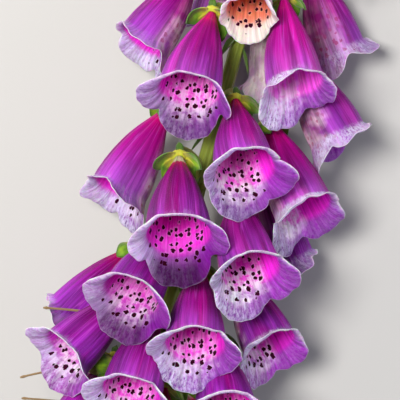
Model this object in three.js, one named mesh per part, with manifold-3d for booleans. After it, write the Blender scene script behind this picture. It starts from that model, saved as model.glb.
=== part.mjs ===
// A foxglove flower spike, cut and laid down on its back, as a three.js scene graph.
//
// Millimetres, +Z up. The table is the plane z = 0. The spike lies along Y with its tip towards +Y,
// and the bells of its showy side face up. It grew leaning a little from plumb, so its bells hang
// towards GROWTH_LEAN off its own axis. Each flower is a corolla (the bell) in a calyx (the green
// cup of five sepals). The stem carries the pedicels, bracts, seed capsules and the tip's small buds.

import * as THREE from 'three';
import { mergeVertices } from 'three/addons/utils/BufferGeometryUtils.js';
import Module from 'manifold-3d';

// ---------------------------------------------------------------- driving dimensions

const STEM_HEIGHT = 28; // the stem's axis above the table, where it flowers
const STEM_BOTTOM = -195; // the cut end, measured along the stem from the middle of the spike
const STEM_TOP = 186; // the growing tip
const STEM_RADIUS = { cut: 3.9, flowering: 3.0, tip: 1.0 };
const STEM_SIDES = 8;
const STEM_STEP = 15; // between two rings of the stem
const GROWTH_LEAN = 15.5; // degrees between the stem and plumb while it grew

const WALL = 0.8; // thickness of a corolla or a sepal
const GAP = 0.35; // clearance between a pedicel and what it carries

const BELL = {
  tube: 36, // from the calyx to the mouth
  baseRadius: 2.6,
  mouthRadius: 12.3,
  swell: 0.95, // how early the tube widens: lower is earlier
  belly: 0.06, // how much further the tube bulges below than above, as a share of its radius
  bellyFrom: 20, // depth at which it bulges fully
  backLonger: 1.2, // how much longer the tube is along its back
  floor: 1.5, // depth of the bell's inner floor
  around: 12, // points round the bell
  tubeStations: [0, 6, 19, 36], // rings along the tube
  lobeStations: [0.5, 1], // rings along the lobes, as shares of their length
};

// The rim past the mouth: its length at the back, in the notches, and at the tips of the side lobes
// and the lower lobe; half the width of a lobe, in radians; and how far the rim folds outward at its
// start and, at the back, the sides and below, at its end, in degrees from the bell's axis.
const LOBE = {
  dorsal: 2.4,
  notch: 7.4,
  lateral: 10.2,
  ventral: 13.8,
  lateralHalf: 0.62,
  ventralHalf: 0.95,
};
const FOLD = { start: 6, back: 98, side: 62, bottom: 22 };

// Sepals: their tips' and notches' depth, how far the tips stand off the bell, the depth of the cup
// behind the bell, its neck's radius at the pedicel, and its clearance to the bell.
const SEPAL = { count: 5, length: 9.5, notch: 4.2, spread: 1.6, back: 2.6, neck: 1.8, clear: 0.5 };
const PEDICEL = { radius: 1.3, sides: 5, rings: 5, rise: 6, arch: 5, sunk: 0.5 };
const BRACT = {
  length: 10,
  width: 4,
  thickness: 1,
  tilt: 30, // degrees off the stem
  below: 4, // below the calyx, along the stem
  shape: [[0, 0.45], [0.35, 1], [0.7, 0.7], [1, 0.12]], // [share of the length, share of the width]
};
const PRESS_DEPTH = 15; // petals lower than this are bent up by the table if they would reach it

// One row per open flower, from the lowest up. along: where its calyx sits along the stem.
// reach, around: how far the calyx stands off the stem's axis, and in which direction (0 is up from
// the table, 90 is +X). face, nod, roll: which way the bell looks round the plumb line, how far it
// hangs below level, and its turn on its own axis, in degrees. size: its share of a full-size bell.
const FLOWERS = [
  { along: -72, reach: 13, around: 94, face: 72, nod: 54, roll: 0, size: 0.95 },
  { along: -71, reach: 11.5, around: 35, face: -5, nod: 60, roll: -3, size: 0.95 },
  { along: -67, reach: 15.5, around: -112, face: -36, nod: 45, roll: 8, size: 0.92 },
  { along: -48, reach: 20, around: 75, face: 17, nod: 52, roll: -4, size: 0.95 },
  { along: -46, reach: 9, around: -24, face: -18, nod: 46, roll: 28, size: 0.94 },
  { along: -40, reach: 15, around: -74, face: -58, nod: 38, roll: 39, size: 0.90 },
  { along: -24, reach: 20, around: -118, face: -99, nod: 46, roll: 3, size: 0.93 },
  { along: -24.5, reach: 12.5, around: 40, face: -3, nod: 47, roll: 9, size: 0.93 },
  { along: -21, reach: 20, around: 88, face: 74, nod: 61, roll: -12, size: 0.88 },
  { along: -13, reach: 11, around: -26, face: -35, nod: 40, roll: 28, size: 0.93 },
  { along: 5.5, reach: 20, around: 46, face: 7, nod: 49, roll: 8, size: 0.94 },
  { along: 13, reach: 20, around: -28, face: -1, nod: 47, roll: 2, size: 0.99 },
  { along: 17, reach: 21, around: 114, face: 104, nod: 68, roll: -2, size: 0.94 },
  { along: 30, reach: 19, around: -92, face: -89, nod: 57, roll: 22, size: 0.95 },
  { along: 35.5, reach: 20, around: 75, face: 60, nod: 67, roll: 4, size: 0.97 },
  { along: 39, reach: 14, around: 21, face: 3, nod: 46, roll: 6, size: 0.94 },
  { along: 64, reach: 21, around: 88, face: 97, nod: 62, roll: 12, size: 0.96 },
  { along: 68, reach: 17, around: -47, face: -26, nod: 54, roll: 10, size: 0.96 },
  { along: 80, reach: 18, around: 40, face: 15, nod: 73, roll: -8, size: 0.90 },
  { along: 84, reach: 23, around: -96, face: -83, nod: 53, roll: -8, size: 0.91 },
  { along: 87, reach: 18, around: 159, face: 146, nod: 85, roll: 7, size: 0.90 },
  { along: 94, reach: 15, around: -20, face: -6, nod: 59, roll: 6, size: 0.73 },
  { along: 99, reach: 20, around: 125, face: 112, nod: 67, roll: 26, size: 0.91 },
  { along: 101, reach: 18, around: -127, face: -140, nod: 72, roll: -2, size: 0.85 },
  { along: 114, reach: 13, around: -68, face: -59, nod: 47, roll: 3, size: 0.78 },
  { along: 120, reach: 12, around: -11, face: 4, nod: 51, roll: 0, size: 0.70 },
  { along: 122, reach: 11, around: 80, face: 72, nod: 56, roll: 0, size: 0.76 },
];

// The five large closed buds above the open flowers.
const BUDS = [
  { along: 132, reach: 9, around: 165, face: 165, nod: 40, length: 22 },
  { along: 135, reach: 9, around: -75, face: -70, nod: 25, length: 20 },
  { along: 138, reach: 9, around: 45, face: 40, nod: 20, length: 19 },
  { along: 144, reach: 8, around: -170, face: -170, nod: 15, length: 16 },
  { along: 147, reach: 8, around: -35, face: -35, nod: 5, length: 15 },
];
const BUD_SIDES = 8;
const BUD_SHAPE = [[0, 0.1], [0.12, 0.2], [0.35, 0.25], [0.62, 0.24], [0.85, 0.17], [1, 0.05]];

// The crowd of small green buds at the tip, set on the turn that most plants share.
const TIP_BUDS = {
  count: 24,
  from: 150,
  to: 183,
  longest: 13,
  shortest: 4,
  turn: 137.5,
  nodFrom: 15,
  nodTo: -60,
  sides: 6,
};
const TIP_BUD_SHAPE = [[0, 0.16], [0.3, 0.3], [0.7, 0.24], [1, 0.05]];

// Below the open bells the corollas have fallen, and their calyxes hold young seed capsules.
const CAPSULES = [
  { along: -88, reach: 11, around: 150, face: 150, nod: 20 },
  { along: -107, reach: 11, around: -75, face: -75, nod: 10 },
  { along: -112, reach: 11, around: 60, face: 60, nod: 0 },
  { along: -121, reach: 11, around: -20, face: -20, nod: -8 },
];
const CAPSULE = { length: 11, sides: 8 };
const CAPSULE_SHAPE = [[0, 0.16], [0.15, 0.38], [0.45, 0.44], [0.75, 0.28], [1, 0.05]];

const COLOURS = {
  corolla: '#a02c86',
  youngCorolla: '#c58fb4',
  calyx: '#8fa24b',
  stem: '#8a964c',
  bud: '#a9ad6b',
};

// ---------------------------------------------------------------- directions and places

const rad = THREE.MathUtils.degToRad;
const lean = rad(GROWTH_LEAN);
const PLUMB_UP = new THREE.Vector3(-Math.sin(lean), Math.cos(lean), 0);
const PLUMB_SIDE = new THREE.Vector3(Math.cos(lean), Math.sin(lean), 0);
const TABLE_UP = new THREE.Vector3(0, 0, 1);
const TABLE_SIDE = new THREE.Vector3(1, 0, 0);
const STEM_UP = new THREE.Vector3(0, 1, 0);

/** The sum of [direction, amount] pairs, as a new vector. */
function sum(...terms) {
  return terms.reduce((total, [way, amount]) => total.addScaledVector(way, amount), new THREE.Vector3());
}

const stemCurve = new THREE.CatmullRomCurve3([
  new THREE.Vector3(3, STEM_BOTTOM, STEM_RADIUS.cut),
  new THREE.Vector3(2, -160, 8),
  new THREE.Vector3(1, -125, 18),
  new THREE.Vector3(0, -95, 25.5),
  new THREE.Vector3(0, -60, STEM_HEIGHT),
  new THREE.Vector3(-1, 0, STEM_HEIGHT),
  new THREE.Vector3(-1, 50, STEM_HEIGHT),
  new THREE.Vector3(0, 100, STEM_HEIGHT),
  new THREE.Vector3(1, 145, 27),
  new THREE.Vector3(4, STEM_TOP, 23),
], false, 'centripetal');
const stemPoints = stemCurve.getPoints(400);

/** The stem's centre at a place along it. */
function stemCentre(along) {
  const upper = stemPoints.findIndex((point) => point.y >= along);
  if (upper <= 0) return stemPoints[upper === 0 ? 0 : stemPoints.length - 1].clone();
  const low = stemPoints[upper - 1];
  const high = stemPoints[upper];
  return low.clone().lerp(high, (along - low.y) / (high.y - low.y));
}

/** The stem's radius at a place along it. */
function stemRadius(along) {
  const { cut, flowering, tip } = STEM_RADIUS;
  if (along < -60) return THREE.MathUtils.mapLinear(along, STEM_BOTTOM, -60, cut, flowering);
  return THREE.MathUtils.lerp(flowering, tip, ((along + 60) / (STEM_TOP + 60)) ** 2.2);
}

/** The seat of a flower, bud or capsule: the middle of its base and its three directions. */
function seatOf({ along, reach, around, face, nod, roll = 0 }) {
  const off = sum([TABLE_UP, Math.cos(rad(around))], [TABLE_SIDE, Math.sin(rad(around))]);
  const base = stemCentre(along).addScaledVector(off, reach);
  const outward = sum([TABLE_UP, Math.cos(rad(face))], [PLUMB_SIDE, Math.sin(rad(face))]);
  const axis = sum([PLUMB_UP, -Math.sin(rad(nod))], [outward, Math.cos(rad(nod))]);
  const upper = sum([PLUMB_UP, Math.cos(rad(nod))], [outward, Math.sin(rad(nod))]);
  const across = upper.clone().cross(axis);
  const back = sum([upper, Math.cos(rad(roll))], [across, Math.sin(rad(roll))]);
  return { base, off, axis, back, side: back.clone().cross(axis) };
}

/** A point given along a seat's axis, at a radius and a turn from its back. */
function placed(seat, depth, radius, turn) {
  return sum(
    [seat.base, 1],
    [seat.axis, depth],
    [seat.back, radius * Math.cos(turn)],
    [seat.side, radius * Math.sin(turn)],
  );
}

// ---------------------------------------------------------------- solids

/** Evenly spaced turns round a full circle. */
function turns(count) {
  return Array.from({ length: count }, (_, i) => (2 * Math.PI * i) / count);
}

/** A closed body through a row of rings with equal point counts, capped at both ends. */
function loft(rings) {
  const count = rings[0].length;
  const positions = [];
  const faces = [];
  rings.flat().forEach((point) => positions.push(point.x, point.y, point.z));
  for (let ring = 0; ring + 1 < rings.length; ring += 1) {
    for (let i = 0; i < count; i += 1) {
      const a = ring * count + i;
      const b = ring * count + ((i + 1) % count);
      faces.push(a, b, b + count, a, b + count, a + count);
    }
  }
  [0, rings.length - 1].forEach((ring) => {
    const centre = rings[ring].reduce((sum, point) => sum.add(point), new THREE.Vector3());
    centre.divideScalar(count);
    const middle = positions.length / 3;
    positions.push(centre.x, centre.y, centre.z);
    for (let i = 0; i < count; i += 1) {
      const a = ring * count + i;
      const b = ring * count + ((i + 1) % count);
      faces.push(...(ring === 0 ? [middle, b, a] : [middle, a, b]));
    }
  });
  const geometry = new THREE.BufferGeometry();
  geometry.setAttribute('position', new THREE.Float32BufferAttribute(positions, 3));
  geometry.setIndex(faces);
  return geometry;
}

/** A closed round body along a seat's axis, from [share of length, radius as a share] pairs. */
function spindle(seat, shape, length, sides) {
  return loft(shape.map(([depth, radius]) => turns(sides).map((turn) => (
    placed(seat, depth * length, radius * length, -turn)
  ))));
}

/** A round tube along a curve, with a radius for each share of its length. */
function taperedTube(curve, radiusAt, sides, ringCount) {
  const frames = curve.computeFrenetFrames(ringCount - 1, false);
  const rings = frames.tangents.map((_, ring) => {
    const share = ring / (ringCount - 1);
    const centre = curve.getPointAt(share);
    return turns(sides).map((turn) => sum(
      [centre, 1],
      [frames.normals[ring], radiusAt(share) * Math.cos(turn)],
      [frames.binormals[ring], radiusAt(share) * Math.sin(turn)],
    ));
  });
  return loft(rings);
}

const wasm = await Module();
wasm.setup();

/** A manifold-3d solid of a closed geometry. */
function toSolid(geometry) {
  const merged = mergeVertices(geometry, 1e-4);
  return new wasm.Manifold(new wasm.Mesh({
    numProp: 3,
    vertProperties: merged.getAttribute('position').array,
    triVerts: Uint32Array.from(merged.index.array),
  }));
}

/** The union of several closed geometries, as one geometry. */
function joined(geometries) {
  const solid = geometries.map(toSolid).reduce((whole, piece) => whole.add(piece));
  const { vertProperties, triVerts } = solid.getMesh();
  const geometry = new THREE.BufferGeometry();
  geometry.setAttribute('position', new THREE.BufferAttribute(vertProperties, 3));
  geometry.setIndex(new THREE.BufferAttribute(triVerts, 1));
  return geometry;
}

// ---------------------------------------------------------------- the bell

/** A smooth blunt hump of height 1 at 0 that ends at plus and minus 1. */
function hump(x) {
  return Math.abs(x) < 1 ? Math.cos((x * Math.PI) / 2) ** 0.8 : 0;
}

/** Radius of the tube at a depth from its base. */
function tubeRadius(depth) {
  const share = THREE.MathUtils.clamp(depth / BELL.tube, 0, 1);
  const grown = Math.sin((Math.PI / 2) * share ** BELL.swell);
  return BELL.baseRadius + (BELL.mouthRadius - BELL.baseRadius) * grown;
}

/** Length of the lobe at a turn from the bell's back: short above, long at the sides and below. */
function lobeLength(turn) {
  const off = Math.abs(Math.atan2(Math.sin(turn), Math.cos(turn)));
  const skirt = (LOBE.notch - LOBE.dorsal) * THREE.MathUtils.smoothstep(off, 0.65, 1.25);
  const side = (LOBE.lateral - LOBE.notch) * hump((off - Math.PI / 2) / LOBE.lateralHalf);
  const bottom = (LOBE.ventral - LOBE.notch) * hump((off - Math.PI) / LOBE.ventralHalf);
  return LOBE.dorsal + skirt + side + bottom;
}

/** The middle of the bell's wall, as [depth, radius]: past the tube it curls out along the rim. */
function wallPoint(turn, depth, lobeShare) {
  const above = Math.cos(turn);
  const settled = THREE.MathUtils.clamp(depth / BELL.bellyFrom, 0, 1);
  let radius = tubeRadius(depth) * (1 - BELL.belly * above * settled);
  let reach = depth + (BELL.backLonger * depth * (1 + above)) / 2 / BELL.tube;
  const fold = FOLD.side + above * (above > 0 ? FOLD.back - FOLD.side : FOLD.side - FOLD.bottom);
  const steps = 12;
  for (let i = 0; i < steps; i += 1) {
    const share = ((i + 0.5) / steps) * lobeShare;
    const angle = rad(FOLD.start + (fold - FOLD.start) * share ** 1.3);
    const step = (lobeLength(turn) * lobeShare) / steps;
    reach += Math.cos(angle) * step;
    radius += Math.sin(angle) * step;
  }
  return [reach, radius];
}

/** A ring of the bell's wall, moved off its middle by half a wall, outward or inward. */
function bellRing(seat, size, depth, lobeShare, side) {
  const nudge = 0.02;
  const off = (side * WALL) / 2 / size;
  return turns(BELL.around).map((turn) => {
    const [reach, radius] = wallPoint(turn, depth, lobeShare);
    const [lastReach, lastRadius] = lobeShare > 0
      ? wallPoint(turn, depth, lobeShare - nudge) : wallPoint(turn, depth - nudge, 0);
    const slope = Math.atan2(radius - lastRadius, reach - lastReach);
    return placed(
      seat,
      size * (reach - off * Math.sin(slope)),
      size * (radius + off * Math.cos(slope)),
      -turn,
    );
  });
}

/** A bell: its outside from base to lobes, then its inside back down to a floor above the base. */
function bellGeometry(seat, size) {
  const stations = [
    ...BELL.tubeStations.map((depth) => [depth, 0]),
    ...BELL.lobeStations.map((share) => [BELL.tube, share]),
  ];
  const outside = stations.map(([depth, share]) => bellRing(seat, size, depth, share, 1));
  const insideStations = [[BELL.floor, 0], ...stations.slice(1)];
  const inside = insideStations.map(([depth, share]) => bellRing(seat, size, depth, share, -1));
  return pressed(loft([...outside, ...inside.reverse()]));
}

/** Bends up what would sink into the table, so that the lowest point just touches it. */
function pressed(geometry) {
  const position = geometry.getAttribute('position');
  const heights = Array.from({ length: position.count }, (_, i) => position.getZ(i));
  const lowest = Math.min(...heights);
  if (lowest >= 0) return geometry;
  const bend = -lowest / (PRESS_DEPTH - lowest) ** 2;
  heights.forEach((height, i) => {
    const under = Math.max(PRESS_DEPTH - height, 0);
    position.setZ(i, height + bend * under ** 2);
  });
  return geometry;
}

// ---------------------------------------------------------------- calyx, stem and buds

/** A calyx: a cup of five pointed sepals round a bell's base, with its neck at the pedicel. */
function calyxGeometry(seat, size) {
  const { count, length, notch, spread, back, neck, clear } = SEPAL;
  const sides = 2 * count;
  const thick = WALL / size;
  const bellRadius = (depth) => tubeRadius(depth) + thick / 2;
  const inside = (depth) => (bellRadius(depth) + clear / size) / Math.cos(Math.PI / sides);
  const ring = ([tipDepth, tipRadius], [notchDepth, notchRadius]) => turns(sides).map((turn, i) => {
    const [depth, radius] = i % 2 === 0 ? [tipDepth, tipRadius] : [notchDepth, notchRadius];
    return placed(seat, size * depth, size * radius, -turn);
  });
  const round = (depth, radius) => ring([depth, radius], [depth, radius]);
  const floor = -clear / size;
  return pressed(loft([
    round(-back, neck),
    round(floor, inside(0) + thick),
    ring([length / 2, inside(length / 2) + thick], [notch / 2, inside(notch / 2) + thick]),
    ring([length, inside(length) + thick + spread], [notch, inside(notch) + thick]),
    ring([length - thick, inside(length) + spread], [notch, inside(notch)]),
    ring([length / 2, inside(length / 2)], [notch / 2, inside(notch / 2)]),
    round(floor, inside(0)),
  ]));
}

/** A pedicel: it rises off the stem, arches over and ends a little behind a seat, facing it. */
function pedicelGeometry(seat, along, behind) {
  const start = stemCentre(along - 2);
  const end = sum([seat.base, 1], [seat.axis, -behind]);
  const curve = new THREE.CubicBezierCurve3(
    start,
    sum([start, 1], [seat.off, PEDICEL.arch], [PLUMB_UP, PEDICEL.rise]),
    sum([end, 1], [seat.axis, -PEDICEL.arch]),
    end,
  );
  return taperedTube(curve, () => PEDICEL.radius, PEDICEL.sides, PEDICEL.rings);
}

/** A bract: a small pointed leaf on the stem, under a pedicel and close along the stem. */
function bractGeometry(seat, along) {
  const { length, width, thickness, tilt, below, shape } = BRACT;
  const root = stemCentre(along - below).addScaledVector(seat.off, stemRadius(along) * 0.6);
  const heading = sum([STEM_UP, -Math.cos(rad(tilt))], [seat.off, Math.sin(rad(tilt))]);
  const across = STEM_UP.clone().cross(seat.off);
  const through = heading.clone().cross(across);
  return loft(shape.map(([share, wide]) => turns(4).map((turn) => sum(
    [root, 1],
    [heading, share * length],
    [across, (wide * width * Math.cos(turn)) / 2],
    [through, (wide * thickness * Math.sin(turn)) / 2],
  ))));
}

/** Where a small bud of the tip sits: the buds shorten and close up along the golden turn. */
function tipBud(i) {
  const share = i / (TIP_BUDS.count - 1);
  const along = THREE.MathUtils.lerp(TIP_BUDS.from, TIP_BUDS.to, share);
  const around = i * TIP_BUDS.turn;
  const length = THREE.MathUtils.lerp(TIP_BUDS.longest, TIP_BUDS.shortest, share);
  const reach = stemRadius(along) * 0.5;
  const nod = THREE.MathUtils.lerp(TIP_BUDS.nodFrom, TIP_BUDS.nodTo, share);
  const seat = seatOf({ along, reach, around, face: around, nod });
  return spindle(seat, TIP_BUD_SHAPE, length, TIP_BUDS.sides);
}

/** The stem with all that grows on it in one piece. */
function stemGeometry() {
  const ringCount = Math.round((STEM_TOP - STEM_BOTTOM) / STEM_STEP) + 1;
  const axis = taperedTube(stemCurve, (share) => {
    const along = THREE.MathUtils.lerp(STEM_BOTTOM, STEM_TOP, share);
    return stemRadius(along);
  }, STEM_SIDES, ringCount);
  const carried = FLOWERS.flatMap((flower) => {
    const seat = seatOf(flower);
    const behind = SEPAL.back * flower.size + GAP;
    return [pedicelGeometry(seat, flower.along, behind), bractGeometry(seat, flower.along)];
  });
  const budStalks = BUDS.map((bud) => pedicelGeometry(seatOf(bud), bud.along, GAP));
  const capsules = CAPSULES.flatMap((capsule) => {
    const seat = seatOf(capsule);
    return [
      pedicelGeometry(seat, capsule.along, -PEDICEL.sunk),
      spindle(seat, CAPSULE_SHAPE, CAPSULE.length, CAPSULE.sides),
    ];
  });
  const tipBuds = Array.from({ length: TIP_BUDS.count }, (_, i) => tipBud(i));
  return joined([axis, ...carried, ...budStalks, ...capsules, ...tipBuds]);
}

// ---------------------------------------------------------------- the scene graph

/** A named mesh with a material of its own. */
function part(name, geometry, color, roughness) {
  const material = new THREE.MeshStandardMaterial({ color, roughness, metalness: 0 });
  const mesh = new THREE.Mesh(geometry, material);
  mesh.name = name;
  return mesh;
}

const YOUNG_SIZE = 0.8; // a flower smaller than this has only just opened, and is paler
const twoDigits = (index) => String(index + 1).padStart(2, '0');

const spike = new THREE.Group();
spike.add(part('stem', stemGeometry(), COLOURS.stem, 0.6));
FLOWERS.forEach((flower, index) => {
  const seat = seatOf(flower);
  const colour = flower.size < YOUNG_SIZE ? COLOURS.youngCorolla : COLOURS.corolla;
  spike.add(part(`corolla_${twoDigits(index)}`, bellGeometry(seat, flower.size), colour, 0.5));
  spike.add(part(`calyx_${twoDigits(index)}`, calyxGeometry(seat, flower.size), COLOURS.calyx, 0.6));
});
BUDS.forEach((bud, index) => {
  const geometry = spindle(seatOf(bud), BUD_SHAPE, bud.length, BUD_SIDES);
  spike.add(part(`bud_${twoDigits(index)}`, geometry, COLOURS.bud, 0.55));
});

// The origin is the middle of the spike's footprint, on the table.
const box = new THREE.Box3().setFromObject(spike);
const centre = box.getCenter(new THREE.Vector3());
spike.position.set(-centre.x, -centre.y, -box.min.z);

export default spike;
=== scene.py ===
"""A cut foxglove spike laid on its back, finished petal by petal for a close look.

The frame gives the place of every flower: each bell, calyx and bud is read off its solid and then
grown again with thin petals, lobes, veins and spots. The stem, its pedicels, bracts, seed capsules
and the small buds of the tip follow the solid stem. Lengths inside the classes are millimetres.
"""
import logging
import math
from collections.abc import Callable
from dataclasses import dataclass, field, replace
from enum import Enum
from functools import cached_property, partial

import bpy
import numpy as np
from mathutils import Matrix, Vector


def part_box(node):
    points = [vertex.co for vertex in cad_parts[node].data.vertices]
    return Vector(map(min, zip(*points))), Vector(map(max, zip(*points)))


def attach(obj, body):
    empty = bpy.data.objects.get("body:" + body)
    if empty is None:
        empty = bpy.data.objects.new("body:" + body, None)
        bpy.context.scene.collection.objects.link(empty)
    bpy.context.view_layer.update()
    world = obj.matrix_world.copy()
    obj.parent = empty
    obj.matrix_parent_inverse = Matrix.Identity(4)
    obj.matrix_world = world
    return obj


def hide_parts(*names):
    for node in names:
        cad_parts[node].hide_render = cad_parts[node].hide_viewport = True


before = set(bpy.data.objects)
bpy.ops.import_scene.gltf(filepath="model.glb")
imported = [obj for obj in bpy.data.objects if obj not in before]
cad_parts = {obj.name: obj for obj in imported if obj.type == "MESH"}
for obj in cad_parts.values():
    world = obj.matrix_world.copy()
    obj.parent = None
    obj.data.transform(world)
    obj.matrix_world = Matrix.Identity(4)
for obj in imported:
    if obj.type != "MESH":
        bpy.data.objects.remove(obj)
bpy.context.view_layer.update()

BODY = "root"
MM = 0.001

LOG = logging.getLogger("foxglove")

Array = np.ndarray
Material = bpy.types.Material
Piece = bpy.types.Object
Node = bpy.types.Node
AddNode = Callable[..., Node]

GROWTH_LEAN = math.radians(15.5)  # between the stem and plumb while it grew
PLUMB_UP = np.array([-math.sin(GROWTH_LEAN), math.cos(GROWTH_LEAN), 0.0])
PLUMB_SIDE = np.array([math.cos(GROWTH_LEAN), math.sin(GROWTH_LEAN), 0.0])
TABLE_UP = np.array([0.0, 0.0, 1.0])
STEM_UP = np.array([0.0, 1.0, 0.0])
BEND_LENGTH = 36.0  # how much of a bell, from its base, takes part in its bend
SMALL_BELL = 0.8  # a bell of a smaller size than this is young
YOUTH = 0.6  # how pale a young bell and its sepals are
PLAIN_BUD = 19.0  # the length of a bud whose sepals have size 1
SMOOTH = {"interpolation_type": "SMOOTHSTEP"}


class Slot(Enum):
    """The record's material slots."""

    COROLLA = "corolla"
    CALYX = "calyx"
    STEM = "stem"
    BUD = "bud"


class Chance(Enum):
    """Where the random numbers of each kind of piece start, so that no two pieces share them."""

    STEM = 7
    HABIT = 200
    PEDICEL = 300
    CALYX = 500
    BRACT = 700
    STYLE = 900
    BELL = 1000
    RIM = 4000

    def numbers(self, piece: int = 0) -> np.random.Generator:
        """Returns the random numbers of one piece of this kind."""
        return np.random.default_rng(self.value + piece)


# ---------------------------------------------------------------- small mathematics


def unit(vector: Array) -> Array:
    """Returns the vector, or each vector of an array, at length 1."""
    return vector / np.maximum(np.linalg.norm(vector, axis=-1, keepdims=True), 1e-9)


def smoothstep(value: Array, low: float, high: float) -> Array:
    """Rises smoothly from 0 to 1.

    Args:
        value: Where to read the step.
        low: The value where it leaves 0.
        high: The value where it reaches 1.

    Returns:
        The height of the step at each value.
    """
    share = np.clip((np.asarray(value, float) - low) / (high - low), 0.0, 1.0)
    return share * share * (3.0 - 2.0 * share)


def vectors(*numbers: Array | float) -> Array:
    """Returns three arrays or numbers, broadcast to one shape, as the numbers of vectors."""
    return np.stack(np.broadcast_arrays(*numbers), -1)


def circle(parts: int) -> Array:
    """Returns the turns that cut a circle into equal parts, with the first one again at its end."""
    return np.linspace(0, 2 * math.pi, parts + 1)


def hump(x: Array) -> Array:
    """Returns a smooth blunt hump of height 1 at 0 that ends at plus and minus 1."""
    return np.where(np.abs(x) < 1, np.cos(np.clip(x, -1, 1) * math.pi / 2) ** 0.8, 0.0)


def bump_at(turn: Array, middle: float, width: float) -> Array:
    """Rises round one place on a circle.

    Args:
        turn: Places on the circle, in radians.
        middle: Where the bump is highest, in radians.
        width: How far from there it falls to about 0.6, in radians.

    Returns:
        The height of the bump at each place.
    """
    off = np.arctan2(np.sin(turn - middle), np.cos(turn - middle))
    return np.exp(-0.5 * (off / width) ** 2)


def ripples(rng: np.random.Generator, turn: Array, along: Array, most: int, waves: int = 5) -> Array:
    """Makes a smooth uneven surface over a tube, as a sum of waves round and along it.

    Args:
        rng: The source of the waves' directions and phases.
        turn: Places round the tube, in radians.
        along: Places along the tube, in millimetres.
        most: The most cycles that a wave makes round the tube.
        waves: How many waves are summed.

    Returns:
        Heights of about plus or minus 1.
    """
    total = np.zeros(np.broadcast(turn, along).shape)
    for _ in range(waves):
        cycles = rng.integers(1, most + 1)
        twist = rng.uniform(-0.22, 0.22)  # radians per millimetre along the tube
        total = total + np.cos(cycles * turn + twist * along + rng.uniform(0, 2 * math.pi))
    return total / math.sqrt(waves)


def wavy(
    rng: np.random.Generator, turn: Array, waves: tuple[tuple[int, float], ...], least: float, most: float
) -> Array:
    """Sums waves round a circle, each with a strength and a phase by chance.

    Args:
        rng: The source of the strengths and phases.
        turn: Places on the circle, in radians.
        waves: Each wave's cycles round the circle and its usual strength.
        least: The least share of its usual strength that a wave has.
        most: The most.

    Returns:
        The sum at each place.
    """
    total = np.zeros_like(turn)
    for cycles, usual in waves:
        strength = usual * rng.uniform(least, most)
        total = total + strength * np.cos(cycles * turn + rng.uniform(0, 2 * math.pi))
    return total


def linear(colour: str) -> tuple[float, float, float, float]:
    """Turns an sRGB colour to a linear one.

    Args:
        colour: The colour in hex, such as #a02c86.

    Returns:
        Linear red, green and blue, and alpha 1.
    """
    channels = [int(colour[i : i + 2], 16) / 255 for i in (1, 3, 5)]
    lit = [c / 12.92 if c <= 0.04045 else ((c + 0.055) / 1.055) ** 2.4 for c in channels]
    return (lit[0], lit[1], lit[2], 1.0)


def add_node(
    tree: bpy.types.NodeTree,
    kind: str,
    inputs: dict[str | int, object] | None = None,
    **settings: object,
) -> bpy.types.Node:
    """Adds a node with its settings and links.

    Args:
        tree: The material's node tree.
        kind: The node's type, without its ShaderNode prefix.
        inputs: For an input's name or place, a value, an sRGB hex colour, a socket to link, or a
            node whose first output is linked.
        settings: The node's own properties. stops gives a colour ramp's places and colours.

    Returns:
        The new node.
    """
    node = tree.nodes.new(f"ShaderNode{kind}")
    for name, value in settings.items():
        if name == "stops":
            elements = node.color_ramp.elements
            while len(elements) < len(value):
                elements.new(0.5)
            for element, (place, colour) in zip(elements, value):
                element.position = place
                element.color = linear(colour)
        else:
            setattr(node, name, value)
    for key, value in (inputs or {}).items():
        if isinstance(value, bpy.types.Node):
            value = next(socket for socket in value.outputs if socket.enabled)
        if isinstance(value, bpy.types.NodeSocket):
            tree.links.new(value, node.inputs[key])
        elif isinstance(value, str):
            node.inputs[key].default_value = linear(value)
        else:
            node.inputs[key].default_value = value
    return node


def new_material(name: str) -> tuple[Material, AddNode]:
    """Makes a material without nodes.

    Args:
        name: The material's name.

    Returns:
        The material, and add_node for its tree.
    """
    material = bpy.data.materials.new(name)
    material.use_nodes = True
    material.node_tree.nodes.clear()
    return material, partial(add_node, material.node_tree)


# ---------------------------------------------------------------- surfaces


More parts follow.
